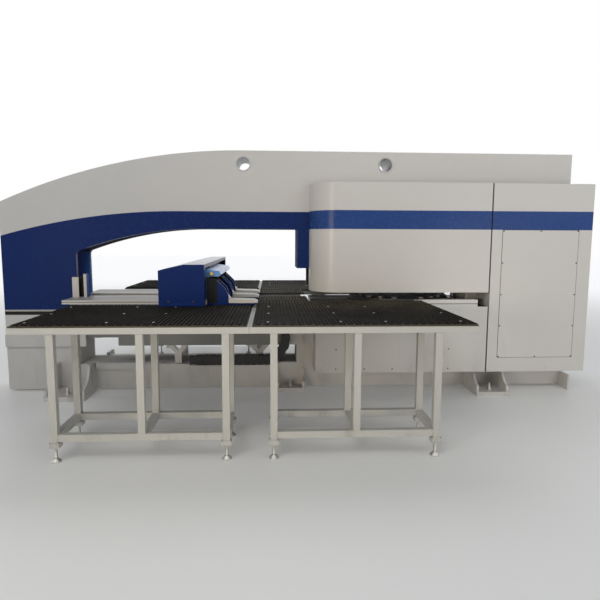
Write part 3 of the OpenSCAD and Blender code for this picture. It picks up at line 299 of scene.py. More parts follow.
def bristle(name, colour):
    """Nylon bristles: fine strands up each tuft, and paler worn, dusty tips, more of them near the turret."""
    finish = Finish(name, Specular_IOR_Level=0.12)
    strands = finish.noise(900.0, 2.0, 0.6, finish.stretched(1.0, 1.0, 0.05))
    wear = finish.noise(2.4, 4.0, 0.6) * 0.6 + finish.noise(17.0, 3.0, 0.6) * 0.4
    used = finish.y.size().fall(0.5, 1.5) * finish.x.rise(-1.0, -0.1)
    tips = finish.z.rise(TABLE_TOP - 0.007, TABLE_TOP) * wear.rise(0.25, 0.65) * (used * 1.1 + 0.12)
    rim = finish.y.size().rise(TABLE_EDGE - 0.021, TABLE_EDGE - 0.016) * 0.7
    rim = rim * finish.z.fall(TABLE_TOP - 0.003, TABLE_TOP)
    base = finish.mix(tips.most(rim), finish.tint(colour, strands, 0.6, 1.5), (0.1, 0.088, 0.062))
    return finish.give(Base_Color=base, Roughness=strands * 0.25 + 0.6, Normal=finish.relief(strands, 0.0006))


def footed(name, colour):
    """Table enamel on the collar over a zinc-plated stem, nut and pad."""
    finish = Finish(name, Specular_IOR_Level=0.35)
    painted = finish.z.rise(COLLAR_BOTTOM - 0.001, COLLAR_BOTTOM)
    stain = finish.noise(30.0, 4.0, 0.6)
    chips = finish.noise(48.0, 5.0, 0.7).rise(0.62, 0.7) * painted
    metal = finish.tint(ZINC, stain, 0.6, 1.15)
    enamel = finish.mix(chips * 0.6, finish.tint(colour, stain, 0.86, 1.05), (0.2, 0.14, 0.09))
    return finish.give(Base_Color=finish.mix(painted, metal, enamel), Metallic=0.9 - painted * 0.9,
                       Roughness=stain * 0.22 + 0.32, Normal=finish.relief(stain, 0.0002))


# Sizes the pieces share, in metres

TABLE_TOP = 0.875
TABLE_EDGE = 1.809
FRAME_RIGHT = 2.565
THROAT_LEFT = -1.967
HALF_DEPTH = 0.2
INNER_DEPTH = 0.16
# The throat's lining is white below this height.
WHITE_LINING_TOP = 0.725
# The blue's upper border is level right of the fall and an arc left of it; its lower end is higher past the throat.
BLUE_TOP = 1.647
BLUE_FALL = -1.04
BLUE_RADIUS = 5.6
BLUE_LOW_LEFT = 0.7555
BLUE_LOW_RIGHT = 1.135
# Z of the dark stripe on the column, painted shade of a gap, and of the pale one above it.
STRIPE = (0.709, 0.741, 0.7545)
# Z of the blue band round the covers, how far they reach from the middle, and X of the trim at their right end.
BAND = (1.49, 1.651)
COVER_REACH = 0.5
COVER_END = (1.7045, 1.7165)
LOWER_COVER_TOP = 0.813
GUARD_GROOVE = (0.8355, 0.8405)
LIFT_X = (-0.464, 0.823)
LIFT_Z = 2.072
LIFT_TUBE = 0.0705
# Each foot: X from and to, reach from the frame, height of its gussets.
FEET = ((-2.17, -1.83, 0.34, 0.23), (-0.17, 0.09, 0.13, 0.16), (1.63, 1.925, 0.328, 0.18))
EAR_PLATE = 0.024
EAR_HEIGHT = 0.145
FOOT_PLATE = 0.04
GUSSET = 0.022
TABLE_TUBE = 0.045
# X of the table legs, and Y of the outer and inner row on the front side.
LEGS_LEFT = (-1.589, -1.05, -0.522)
LEGS_RIGHT = (-0.221, 0.309, 0.829)
LEG_ROWS = (-1.8, -1.3995)
RAIL_BOTTOM = 0.817
STRETCHER = 0.137
COLLAR_BOTTOM = 0.098
PLATE_GROOVE = (0.8558, 0.8612)
POST_INSIDE_X = (-1.9795, -1.8705)
POST_INSIDE_Y = (0.213, 0.2575)
POST_RIGHT = -1.8625
TURRET_X = 1.01
RAM_X = 0.615
INDEX_PIN_X = 1.28
DRIVE_SHAFT_X = 1.552
BEAM_END = 0.95
HOOD_LIP_X = (-0.998, -0.791)
HOOD_LIP_Z = (0.8955, 0.899)
HOOD_SCREWS = (-1.009, -0.817)
HOOD_SCREW_Z = 0.914
CLAMP_GAP = -0.6405
FITTING = (-0.69, -0.8, 1.122)
AXES = {"x": (1, 0, 0), "y": (0, 1, 0)}
# Each ball screw: its body, where it starts and its axis, its length, where the groove starts and ends, its radii at
# the groove and at the ends, and its lead.
BALL_SCREWS = {
    "y_ball_screw": ("y_screw", (-1.92, 0.0, 0.598), "x", 1.86, (0.084, 1.816), 0.02, 0.016, 0.05),
    "x_ball_screw": ("x_screw", (-0.771, -0.886, 1.032), "y", 1.632, (0.026, 1.588), 0.011, 0.0105, 0.032),
}
# X from and to and Y from and to of the front mats that take each solid's place; the rear ones are their mirror.
MATS = {
    "brush_tops": ((-1.809, -0.367, -1.802, -0.765), (-0.333, 1.1, -1.802, -0.505)),
    "centre_brush_tops": ((-0.735, -0.351, -0.762, -0.12), (-0.349, 0.11, -0.502, -0.12)),
}
MAT_DEPTH = 0.018
FLOOR_REACH = 40
# Each lamp: its name, place, aim, size, power, spread in degrees and colour.
LAMPS = (
    ("window_light", (-2.8, -7.0, 6.4), (0, 0, 1.0), 4.5, 205, 180, (1.0, 0.98, 0.95)),
    ("door_light", (-4.8, -7.0, 1.5), (0.75, -0.4, 0.7), 1.6, 7, 34, (1.0, 0.84, 0.64)),
    ("low_light", (4.0, -7.0, 0.8), (1.0, -0.5, 0.5), 1.5, 45, 180, (1.0, 0.9, 0.76)),
    ("fill_light", (6.0, -5.5, 3.6), (0.5, 0, 1.0), 4.0, 80, 180, (0.95, 0.97, 1.0)),
    ("roof_light", (0.0, 3.5, 6.5), (0, 0, 0.9), 5.0, 190, 180, (0.97, 0.98, 1.0)),
)


class PressPaint(bpy.types.PropertyGroup):
    """Colours of the machine."""
    white: FloatVectorProperty(name="White enamel", description="Frame, covers, cabinet and feet", subtype="COLOR",
                               default=(0.6, 0.59, 0.575), min=0, max=1)
    blue: FloatVectorProperty(name="Blue enamel", description="Lower half of the frame and the beam hood",
                              subtype="COLOR", default=(0.004, 0.02, 0.115), min=0, max=1)
    band: FloatVectorProperty(name="Band enamel", description="Band round the covers and the cabinet",
                              subtype="COLOR", default=(0.02, 0.058, 0.215), min=0, max=1)
    grey: FloatVectorProperty(name="Grey enamel", description="Rail bed, ledges and brackets", subtype="COLOR",
                              default=(0.26, 0.26, 0.25), min=0, max=1)
    table: FloatVectorProperty(name="Table enamel", description="Welded table frames", subtype="COLOR",
                               default=(0.47, 0.47, 0.445), min=0, max=1)
    black: FloatVectorProperty(name="Bristles", description="Nylon bristles of the brush mats", subtype="COLOR",
                               default=(0.009, 0.0085, 0.008), min=0, max=1)
    light_blue: FloatVectorProperty(name="Carriage cover", description="Light cover of the clamp carriage",
                                    subtype="COLOR", default=(0.16, 0.36, 0.78), min=0, max=1)
    cream: FloatVectorProperty(name="Centre plates", description="Plates in the throat and clamp jaws",
                               subtype="COLOR", default=(0.6, 0.575, 0.53), min=0, max=1)
    steel: FloatVectorProperty(name="Steel", description="Bare ground steel", subtype="COLOR",
                               default=(0.34, 0.34, 0.34), min=0, max=1)
    # The dark colour also paints shade: the column's stripe, the lower cover's top and the guard's groove.
    dark: FloatVectorProperty(name="Dark parts", description="Rubber, gaskets and blackened steel", subtype="COLOR",
                              default=(0.012, 0.012, 0.012), min=0, max=1)


class PressBrush(bpy.types.PropertyGroup):
    """Layout of the bristle tufts."""
    row_pitch: FloatProperty(name="Row pitch", description="Distance between rows of tufts along the machine",
                             default=0.026, unit="LENGTH", min=0.015)
    tuft_pitch: FloatProperty(name="Tuft pitch", description="Distance between tufts in a row", default=0.024,
                              unit="LENGTH", min=0.012)
    tuft_radius: FloatProperty(name="Tuft radius", description="Radius of a tuft at its root", default=0.0062,
                               unit="LENGTH", min=0.002)
    splay: FloatProperty(name="Splay", description="How much wider a tuft is at its tip", default=1.45, min=1.0)
    lean: FloatProperty(name="Lean", description="How far worn tufts lean at their tips", default=0.0028,
                        unit="LENGTH", min=0.0)


class PressStudio(bpy.types.PropertyGroup):
    """Camera and light."""
    camera_at: FloatVectorProperty(name="Camera", description="Place of the camera", subtype="XYZ", unit="LENGTH",
                                   default=(-0.210, -5.000, 1.3964))
    yaw: FloatProperty(name="Turn", description="Turn to the right", default=math.radians(3.1), subtype="ANGLE")
    pitch: FloatProperty(name="Tilt", description="Tilt down", default=math.radians(6.6), subtype="ANGLE")
    roll: FloatProperty(name="Roll", description="Roll about the line of sight", default=math.radians(0.25),
                        subtype="ANGLE")
    lens: FloatProperty(name="Lens", description="Focal length on a 36 mm sensor", default=31.28, min=5)
    floor: FloatVectorProperty(name="Floor", description="Colour of the plain floor", subtype="COLOR",
                               default=(0.74, 0.75, 0.74), min=0, max=1)


# Mesh helpers

def settings(context):
    scene = context.scene
    return scene.press_paint, scene.press_brush, scene.press_studio


def dress(material, *nodes):
    """Gives the material to CAD nodes."""
    for name in nodes:
        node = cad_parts[name]
        node.data.materials.clear()
        node.data.materials.append(material)


def piece(name, mesh, material, body="frame", smooth=False):
    """A visible piece that rides a body."""
    obj = bpy.data.objects.new(name, mesh)
    bpy.context.collection.objects.link(obj)
    mesh.materials.append(material)
    if smooth:
        mesh.polygons.foreach_set("use_smooth", [True] * len(mesh.polygons))
    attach(obj, body)
    return obj


def circle(count):
    """The cosine and sine of equal steps round a circle."""
    return [(math.cos(math.tau * i / count), math.sin(math.tau * i / count)) for i in range(count)]


def mesh_from(name, verts, faces):
    mesh = bpy.data.meshes.new(name)
    mesh.from_pydata(verts, [], faces)
    mesh.update()
    return mesh


# Turn of the bead's ripple from one ring to the next, in radians.
RIPPLE_STEP = 2.1


class Shape:
    """Collects closed solids into one mesh."""

    def __init__(self):
        self.verts = []
        self.faces = []

    def add(self, verts, faces):
        start = len(self.verts)
        self.verts += [tuple(v) for v in verts]
        self.faces += [tuple(start + i for i in f) for f in faces]

    def rings(self, rings, cap=True):
        """Skins a row of equal rings of points."""
        count = len(rings[0])
        verts = [p for ring in rings for p in ring]
        faces = []
        for r in range(len(rings) - 1):
            for i in range(count):
                j = (i + 1) % count
                faces.append((r * count + i, r * count + j, (r + 1) * count + j, (r + 1) * count + i))
        if cap:
            faces.append(tuple(reversed(range(count))))
            faces.append(tuple(range((len(rings) - 1) * count, len(rings) * count)))
        self.add(verts, faces)

    def turned(self, centre, axis, profile, sides=24):
        """A solid of revolution: profile holds (distance along axis, radius)."""
        axis = Vector(axis).normalized()
        first = axis.orthogonal().normalized()
        second = axis.cross(first)
        self.rings([[Vector(centre) + axis * reach + (first * c + second * s) * radius for c, s in circle(sides)]
                    for reach, radius in profile])

    def tube(self, path, radius, sides=6, closed=False, ripple=0.0):
        """A round bead along a path; ripple is the share by which its radius swells and shrinks."""
        points = [Vector(p) for p in path]
        count = len(points)
        rings = []
        for i, point in enumerate(points):
            before = points[i - 1] if closed or i else points[0]
            after = points[(i + 1) % count] if closed or i < count - 1 else points[-1]
            ahead = (after - before).normalized()
            upright = abs(ahead.z) > 0.99
            first = (ahead.orthogonal() if upright else ahead.cross(Vector((0, 0, 1)))).normalized()
            second = ahead.cross(first)
            r = radius * (1.0 + ripple * math.sin(i * RIPPLE_STEP))
            rings.append([point + (first * c + second * s) * r for c, s in circle(sides)])
        if closed:
            rings.append(rings[0])
        self.rings(rings, cap=not closed)

    def mesh(self, name):
        mesh = mesh_from(name, self.verts, self.faces)
        made = bmesh.new()
        made.from_mesh(mesh)
        bmesh.ops.recalc_face_normals(made, faces=made.faces)
        made.to_mesh(mesh)
        made.free()
        return mesh


def along(a, b, step):
    """Points from a to b, about a step apart."""
    a, b = Vector(a), Vector(b)
    count = max(2, int((b - a).length / step) + 1)
    return [a.lerp(b, i / (count - 1)) for i in range(count)]


# A ball screw's groove: its depth, half its width as a share of the lead, and how finely it is drawn.
GROOVE_DEPTH = 0.0028
GROOVE_WIDTH = 0.22
GROOVE_SIDES = 28
RINGS_PER_TURN = 12


def thread(length, core, crest, pitch):
    """A turned profile of fine ridges."""
    profile = [(0.0, core)]
    for k in range(int(length / pitch)):
        profile += [((k + 0.5) * pitch, crest), ((k + 1) * pitch, core)]
    return profile


# The brush mats

TUFT_SIDES = 5
# Thickness of a mat's base, depth left free of tufts, distances of the outer tufts from its edges, and how much the
# tufts' height varies.
MAT_BASE = 0.009
MAT_MARGIN = 0.016
FIRST_TUFT = 0.012
LAST_TUFT = 0.006
UNEVEN_TOP = 0.0015
# Blender's noise starts from the clock, so a fixed seed gives the same tufts in each run.
TUFT_SEED = 7


def tuft(shape, x, y, base, top, sizes):
    """One splayed tuft without a face at its root; worn patches lean together and each tuft a little by itself."""
    worn = noise.noise_vector((x * 7.0, y * 7.0, 1.7))
    jitter = noise.noise_vector((x * 91.0, y * 91.0, 5.3))
    lean_x, lean_y = ((worn[i] + jitter[i] * 0.8) * sizes.lean * 1.6 for i in range(2))
    turn = jitter.x * 3.0
    angles = [turn + math.tau * i / TUFT_SIDES for i in range(TUFT_SIDES)]
    tip = top - max(0.0, jitter.z) * UNEVEN_TOP
    start = len(shape.verts)
    for z, r, part in ((base, sizes.tuft_radius, 0.0), (tip, sizes.tuft_radius * sizes.splay, 1.0)):
        shape.verts += [(x + lean_x * part + r * math.cos(a), y + lean_y * part + r * math.sin(a), z) for a in angles]
    end = start + TUFT_SIDES
    for i in range(TUFT_SIDES):
        after = (i + 1) % TUFT_SIDES
        shape.faces.append((start + i, start + after, end + after, end + i))
    shape.faces.append(tuple(range(end, end + TUFT_SIDES)))


def tufted_mat(name, low, high, material, sizes):
    """A mat with a base plate and rows of tufts across the machine, every second row offset."""
    shape = Shape()
    x0, y0, z0 = low
    x1, y1, z1 = high
    base = z0 + MAT_BASE
    shape.rings([[(x0, y0, z), (x1, y0, z), (x1, y1, z), (x0, y1, z)] for z in (z0, base)])
    rows = int((x1 - x0) / sizes.row_pitch)
    offset = (x1 - x0 - (rows - 1) * sizes.row_pitch) / 2
    count = int((y1 - y0 - MAT_MARGIN) / sizes.tuft_pitch)
    noise.seed_set(TUFT_SEED)
    for row in range(rows):
        x = x0 + offset + row * sizes.row_pitch
        shift = (row % 2) * sizes.tuft_pitch / 2
        for k in range(count):
            y = y0 + FIRST_TUFT + shift + k * sizes.tuft_pitch
            if y <= y1 - LAST_TUFT:
                tuft(shape, x, y, base, z1, sizes)
    return piece(name, mesh_from(name, shape.verts, shape.faces), material)


# One operator per group of pieces

class PRESS_OT_frame_finish(bpy.types.Operator):
    """Two-tone enamel on the frame's plates, and the finishes inside and under it"""
    bl_idname = "press.frame_finish"
    bl_label = "Frame"

    def execute(self, context):
        paint = settings(context)[0]
        blue, dark, white = tuple(paint.blue), tuple(paint.dark), tuple(paint.white)

        def border(finish):
            run = (BLUE_FALL - finish.x).most(0.0)
            return BLUE_TOP - (BLUE_RADIUS - (BLUE_RADIUS ** 2 - run * run).root())

        def lower_end(finish):
            right = finish.x.rise(-0.02, 0.0)
            return ((1.0 - right) * finish.z.rise(BLUE_LOW_LEFT - 0.0015, BLUE_LOW_LEFT + 0.0015)
                    + right * finish.z.rise(BLUE_LOW_RIGHT - 0.001, BLUE_LOW_RIGHT + 0.001))

        def column_stripe(low, high):
            return lambda finish: finish.z.band(low, high, 0.001) * finish.x.fall(THROAT_LEFT, THROAT_LEFT + 0.001)

        # The dark stripe on the column is painted shade of a gap below the blue.
        stripes_and_painted_shade = ((column_stripe(*STRIPE[1:]), (0.45, 0.44, 0.41)), (column_stripe(*STRIPE[:2]), dark))

        def welded(finish):
            return 1.0 - (finish.y.size() - INNER_DEPTH).size().rise(0.0, 0.004)

        plates = two_tone("two_tone_enamel", white, blue, border, lower_end, marked=stripes_and_painted_shade, ridge=welded)
        dress(plates, "frame_front_plate", "frame_rear_plate", "frame_crown_plate", "frame_end_plates")

        def column_side(finish):
            return finish.x.fall(THROAT_LEFT, THROAT_LEFT + 0.027).most(finish.y.size().rise(0.1985, 0.199))

        # Painted light: the throat's left wall is painted a lighter blue, more towards the rear, where light falls on
        # it.
        def painted_light_side(finish):
            return (finish.x.fall(THROAT_LEFT, THROAT_LEFT + 0.007) * finish.y.rise(-0.08, HALF_DEPTH) * 0.8
                    * finish.z.fall(0.9, 1.6) * finish.z.rise(WHITE_LINING_TOP - 0.025, WHITE_LINING_TOP + 0.025))

        def lining_foot(finish):
            return finish.z.fall(WHITE_LINING_TOP - 0.025, WHITE_LINING_TOP + 0.025)

        # Painted shade: the lining's blue is darkened nearly to black, standing in for the shade inside the throat.
        dress(sprayed("lining_enamel_painted_shade", (0.003, 0.007, 0.03), rough=0.7, dirt=0.05, dust=0.1, coat=0.0, specular=0.03,
                      marked=((column_side, blue), (painted_light_side, (0.025, 0.14, 0.52)), (lining_foot, white))),
              "frame_throat_lining")
        dress(sprayed("white_enamel", white), "frame_ribs", "base_beam", "rail_bed_posts", "column_ledges")
        dress(sprayed("foot_enamel", white, dirt=0.55, dust=0.5), "machine_feet")
        dress(sprayed("grey_enamel", paint.grey, rough=0.45, dirt=0.35), "rail_bed", "table_brackets")
        dress(ground_steel("lifting_tube_steel", tuple(paint.steel), 0.35, "y"), "lifting_tubes")
        dress(plated("zinc_plate"), "anchor_bolts", "table_bolts")
        dress(footed("foot_collars", tuple(paint.table)), "levelling_feet")
        return {"FINISHED"}


class PRESS_OT_cover_finish(bpy.types.Operator):
    """Thin-sheet enamel with its blue band on the turret covers and the cabinet"""
    bl_idname = "press.cover_finish"
    bl_label = "Covers and cabinet"

    def execute(self, context):
        paint = settings(context)[0]
        dark = tuple(paint.dark)

        def edge_trim(finish):
            return finish.x.band(*COVER_END, 0.0005) * finish.y.size().rise(COVER_REACH - 0.0035, COVER_REACH - 0.003)

        # Painted shade: the lower cover's top, in the gap under the turret cover, is painted dark.
        def painted_shade_top(finish):
            return (finish.z.rise(LOWER_COVER_TOP - 0.0005, LOWER_COVER_TOP)
                    * finish.y.size().fall(COVER_REACH - 0.0025, COVER_REACH - 0.002))

        banded = two_tone("banded_sheet_enamel", paint.white, paint.band, lambda finish: finish.x * 0.0 + BAND[1],
                          lambda finish: finish.z.rise(BAND[0] - 0.0005, BAND[0] + 0.0005), panels=SHEET_WAVE,
                          marked=((edge_trim, dark),))
        dress(banded, "turret_cover_front", "turret_cover_rear", "cabinet_front", "cabinet_rear")
        dress(sprayed("sheet_enamel", paint.white, panels=SHEET_WAVE, dirt=0.2), "access_panels")
        dress(sprayed("lower_sheet_enamel", paint.white, panels=SHEET_WAVE, dirt=0.2, dust=0.05, coat=0.0,
                      specular=0.03, marked=((painted_shade_top, dark), (edge_trim, dark))),
              "lower_cover_front", "lower_cover_rear")
        # Painted shade: the guard's groove is painted dark.
        groove = (lambda finish: finish.z.band(*GUARD_GROOVE, 0.0005), dark)
        dress(sprayed("guard_enamel", paint.white, dirt=0.1, marked=(groove,)), "turret_guard")
        dress(moulded("blackened_screws", dark, 0.35, dust=0.1), "panel_screws")
        gaskets = Shape()
        (x0, _, z0), (x1, _, z1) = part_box("access_panels")
        corners = ((x0, z0), (x1, z0), (x1, z1), (x0, z1))
        for side in (-1, 1):
            y = side * (COVER_REACH + 0.0004)
            for (xa, za), (xb, zb) in zip(corners, corners[1:] + corners[:1]):
                gaskets.tube(along((xa, y, za), (xb, y, zb), 0.1), 0.0022)
        piece("panel_gaskets", gaskets.mesh("panel_gaskets"), moulded("gasket_rubber", dark, 0.6), smooth=True)
        return {"FINISHED"}


class PRESS_OT_turret_finish(bpy.types.Operator):
    """Turned, ground and cast finishes of the turret and its drive"""
    bl_idname = "press.turret_finish"
    bl_label = "Turret"

    def execute(self, context):
        steel = tuple(settings(context)[0].steel)
        # The turret's and the tools' steel is dull dark steel, darkened further as painted shade for the gap under the
        # turret cover.
        dress(turned_steel("turret_steel_and_painted_shade", tuple(c * 0.25 for c in steel), (TURRET_X, 0.0, 0.0), "z", 0.5),
              "upper_turret", "lower_turret")
        dress(ground_steel("tool_steel_and_painted_shade", (0.15, 0.145, 0.14), 0.4, "z", oil=0.12), "punches", "dies")
        dress(turned_steel("ram_chrome", (0.62, 0.62, 0.63), (RAM_X, 0.0, 0.0), "z", 0.14), "ram")
        dress(turned_steel("drive_shaft_steel", steel, (DRIVE_SHAFT_X, 0.0, 0.0), "z", 0.3), "turret_drive_shaft")
        dress(turned_steel("index_pin_steel", (0.3, 0.3, 0.3), (INDEX_PIN_X, 0.0, 0.0), "z", 0.2),
              "index_pin_upper", "index_pin_lower")
        dress(cast_paint("cast_enamel", (0.05, 0.052, 0.056)), "turret_bearing_blocks", "ram_cylinder",
              "y_screw_supports")
        dress(moulded("motor_enamel", (0.02, 0.021, 0.023), 0.4, coat=0.2), "turret_motor", "y_drive_motor",
              "x_drive_motor")
        return {"FINISHED"}


class PRESS_OT_table_finish(bpy.types.Operator):
    """Welded table frames, centre plates and the hose post"""
    bl_idname = "press.table_finish"
    bl_label = "Tables"

    def execute(self, context):
        paint = settings(context)[0]
        dress(sprayed("table_enamel", paint.table, rough=0.42, dirt=0.5, dust=0.4), "left_front_table",
              "right_front_table", "left_rear_table", "right_rear_table")

        # Painted shade: dark lines in the centre plates' grooves.
        def grooves(finish):
            return (finish.z.band(TABLE_TOP - 0.0045, TABLE_TOP - 0.0035, 0.0002)
                    + finish.z.band(*PLATE_GROOVE, 0.0004))

        # Painted shade: the inside of the hose post's channel is painted dark.
        def post_inside_shade(finish):
            return (finish.x.band(*POST_INSIDE_X, 0.0005) * finish.y.size().band(*POST_INSIDE_Y, 0.0005)
                    * finish.z.rise(TABLE_TOP + 0.001, TABLE_TOP + 0.002))

        # Painted light: the post's right face is painted the lit blue of the lining edge beside it.
        def post_right_painted_light(finish):
            return finish.x.rise(POST_RIGHT - 0.0001, POST_RIGHT + 0.0001)

        # The plates' upward faces are painted grey in a band, in streaks.
        def greyed_top(finish):
            streaks = finish.noise(9.0, 4.0, 0.65, finish.stretched(0.12, 1.0, 1.0)).rise(0.3, 0.6)
            return facing_up(finish) * finish.y.size().band(0.17, 0.47, 0.03) * (streaks * 0.5 + 0.45)

        dress(sprayed("grooved_plate_enamel", paint.cream, rough=0.4, dirt=0.2, dust=0.1, variation=0.1,
                      marked=((greyed_top, (0.27, 0.265, 0.275)), (grooves, (0.16, 0.155, 0.15)))), "centre_plates")
        dress(sprayed("post_enamel", (0.66, 0.62, 0.58), rough=0.4, dirt=0.1, dust=0.1,
                      marked=((post_inside_shade, (0.03, 0.028, 0.026)), (post_right_painted_light, (0.02, 0.08, 0.33)))), "hose_post")
        return {"FINISHED"}


class PRESS_OT_brush_mats(bpy.types.Operator):
    """Mats of nylon tufts over the tables, in place of the plain ridges"""
    bl_idname = "press.brush_mats"
    bl_label = "Brush mats"

    def execute(self, context):
        paint, sizes, _ = settings(context)
        nylon = bristle("nylon_bristle", paint.black)
        for node, areas in MATS.items():
            for index, (x0, x1, y0, y1) in enumerate(areas):
                for side, a, b in (("front", y0, y1), ("rear", -y1, -y0)):
                    mat = tufted_mat(f"{node}_{index + 1}_{side}", (x0, a, TABLE_TOP - MAT_DEPTH), (x1, b, TABLE_TOP),
                                     nylon, sizes)
                    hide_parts(node)
        return {"FINISHED"}


class PRESS_OT_beam_finish(bpy.types.Operator):
    """Hood, beam, saddle, rails, screws, clamp carriage and energy chain"""
    bl_idname = "press.beam_finish"
    bl_label = "Beam and clamps"

    def execute(self, context):
        paint = settings(context)[0]
        dark = tuple(paint.dark)

        # Painted highlight: a lighter blue line along the lip at the base of the hood's end faces.
        def lip_highlight(finish):
            return (finish.y.size().rise(BEAM_END - 0.0005, BEAM_END) * finish.x.band(*HOOD_LIP_X, 0.002)
                    * finish.z.band(*HOOD_LIP_Z, 0.0006) * 0.7)

        def clamp_gap(finish):
            return finish.x.fall(CLAMP_GAP - 0.0005, CLAMP_GAP + 0.0005) * finish.z.rise(0.89, 0.891)

        dress(sprayed("hood_enamel", paint.blue, rough=0.3, panels=SHEET_WAVE / 2, dirt=0.05, dust=0.1, variation=0.12,
                      coat=0.02, marked=((lip_highlight, (0.03, 0.07, 0.26)),), waxed_top=0.8), "beam_hood")
        dress(sprayed("beam_enamel", (0.045, 0.047, 0.05), rough=0.45), "saddle", "x_beam")
        dress(sprayed("clamp_enamel", paint.blue, dirt=0.1, variation=0.12, marked=((clamp_gap, dark),)),
              "clamp_bodies")
        dress(sprayed("jaw_enamel", paint.cream, rough=0.4, dirt=0.1, dust=0.1, variation=0.1),
              "clamp_jaw_front", "clamp_jaw_middle", "clamp_jaw_rear")
        dress(moulded("carriage_cover", paint.light_blue, 0.28, 0.00012, coat=0.4), "clamp_carriage")
        dress(ground_steel("rail_steel", (0.55, 0.55, 0.55), 0.22, "x"), "y_rails")
        dress(ground_steel("beam_rail_steel", (0.55, 0.55, 0.55), 0.22, "y"), "x_rails")
        for name, (_, start, axis, *_) in BALL_SCREWS.items():
            dress(turned_steel(name + "_steel", (0.5, 0.5, 0.5), start, axis, 0.22), name)
        dress(moulded("chain_plastic", (0.012, 0.012, 0.013), 0.5), "energy_chain")
        caps = Shape()
        for side in (-1, 1):
            for x in HOOD_SCREWS:
                caps.turned((x, side * (BEAM_END - 0.001), HOOD_SCREW_Z), (0, side, 0),
                            ((0.0, 0.009), (0.0035, 0.009), (0.0055, 0.0065), (0.0062, 0.0)), 20)
        piece("hood_screws", caps.mesh("hood_screws"), moulded("black_oxide", dark, 0.35, dust=0.1), "beam")
        fitting = Shape()
        fitting.turned(FITTING, (0, -1, 0),
                       ((0.0, 0.012), (0.012, 0.012), (0.012, 0.0155), (0.022, 0.0155), (0.022, 0.011),
                        (0.034, 0.011), (0.034, 0.0135), (0.043, 0.0135), (0.044, 0.007)), 20)
        piece("air_fitting", fitting.mesh("air_fitting"),
              turned_steel("brass", (0.62, 0.42, 0.14), FITTING, "y", 0.22), "carriage")
        return {"FINISHED"}


class PRESS_OT_weld_seams(bpy.types.Operator):
    """Painted weld beads on the lifting tubes, the feet and the table frames"""
    bl_idname = "press.weld_seams"
    bl_label = "Weld seams"

    def execute(self, context):
        paint = settings(context)[0]
        seams = sprayed("seam_enamel", paint.white, rough=0.4, dirt=0.3)
        frame_beads = Shape()
        for x in LIFT_X:
            for y in (-HALF_DEPTH, HALF_DEPTH):
                frame_beads.tube([(x + LIFT_TUBE * c, y, LIFT_Z + LIFT_TUBE * s) for c, s in circle(96)], 0.0042,
                                 sides=8, closed=True, ripple=0.1)
        piece("frame_seams", frame_beads.mesh("frame_seams"), seams, smooth=True)

        foot_beads = Shape()

        def weld_line(a, b):
            foot_beads.tube(along(a, b, 0.012), 0.004, ripple=0.15)

        for x0, x1, reach, height in FEET:
            for side in (-1, 1):
                out = side * (HALF_DEPTH + reach - 0.012)
                wall = side * HALF_DEPTH
                for x in (x0, x0 + GUSSET, x1 - GUSSET, x1):
                    weld_line((x, out, FOOT_PLATE), (x, wall, FOOT_PLATE))
                    weld_line((x, wall, FOOT_PLATE), (x, wall, FOOT_PLATE + height))
        for y in (-HALF_DEPTH, HALF_DEPTH):
            weld_line((FRAME_RIGHT, y, EAR_PLATE), (FRAME_RIGHT, y, EAR_HEIGHT))
        piece("foot_seams", foot_beads.mesh("foot_seams"), seams, smooth=True)

        table_beads = Shape()
        tube = TABLE_TUBE
        low, high = STRETCHER, STRETCHER + tube

        def weld_ring(*corners):
            path = [p for a, b in zip(corners, corners[1:] + corners[:1]) for p in along(a, b, 0.011)[:-1]]
            table_beads.tube(path, 0.003, closed=True, ripple=0.15)

        for side in (-1, 1):
            leg_sides = [sorted((side * y, side * (y + tube))) for y in LEG_ROWS]
            for legs in (LEGS_LEFT, LEGS_RIGHT):
                for x in legs:
                    for ya, yb in leg_sides:
                        for z in ((RAIL_BOTTOM, high) if x == legs[1] else (RAIL_BOTTOM,)):
                            weld_ring((x, ya, z), (x + tube, ya, z), (x + tube, yb, z), (x, yb, z))
                    for y in (side * (LEG_ROWS[0] + tube), side * LEG_ROWS[1]):
                        weld_ring((x, y, low), (x + tube, y, low), (x + tube, y, high), (x, y, high))
                for x in (legs[0] + tube, legs[2]):
                    for ya, yb in leg_sides:
                        weld_ring((x, ya, low), (x, yb, low), (x, yb, high), (x, ya, high))
        table_paint = sprayed("table_seam_enamel", paint.table, rough=0.45, dirt=0.5)
        piece("table_seams", table_beads.mesh("table_seams"), table_paint, smooth=True)
        return {"FINISHED"}


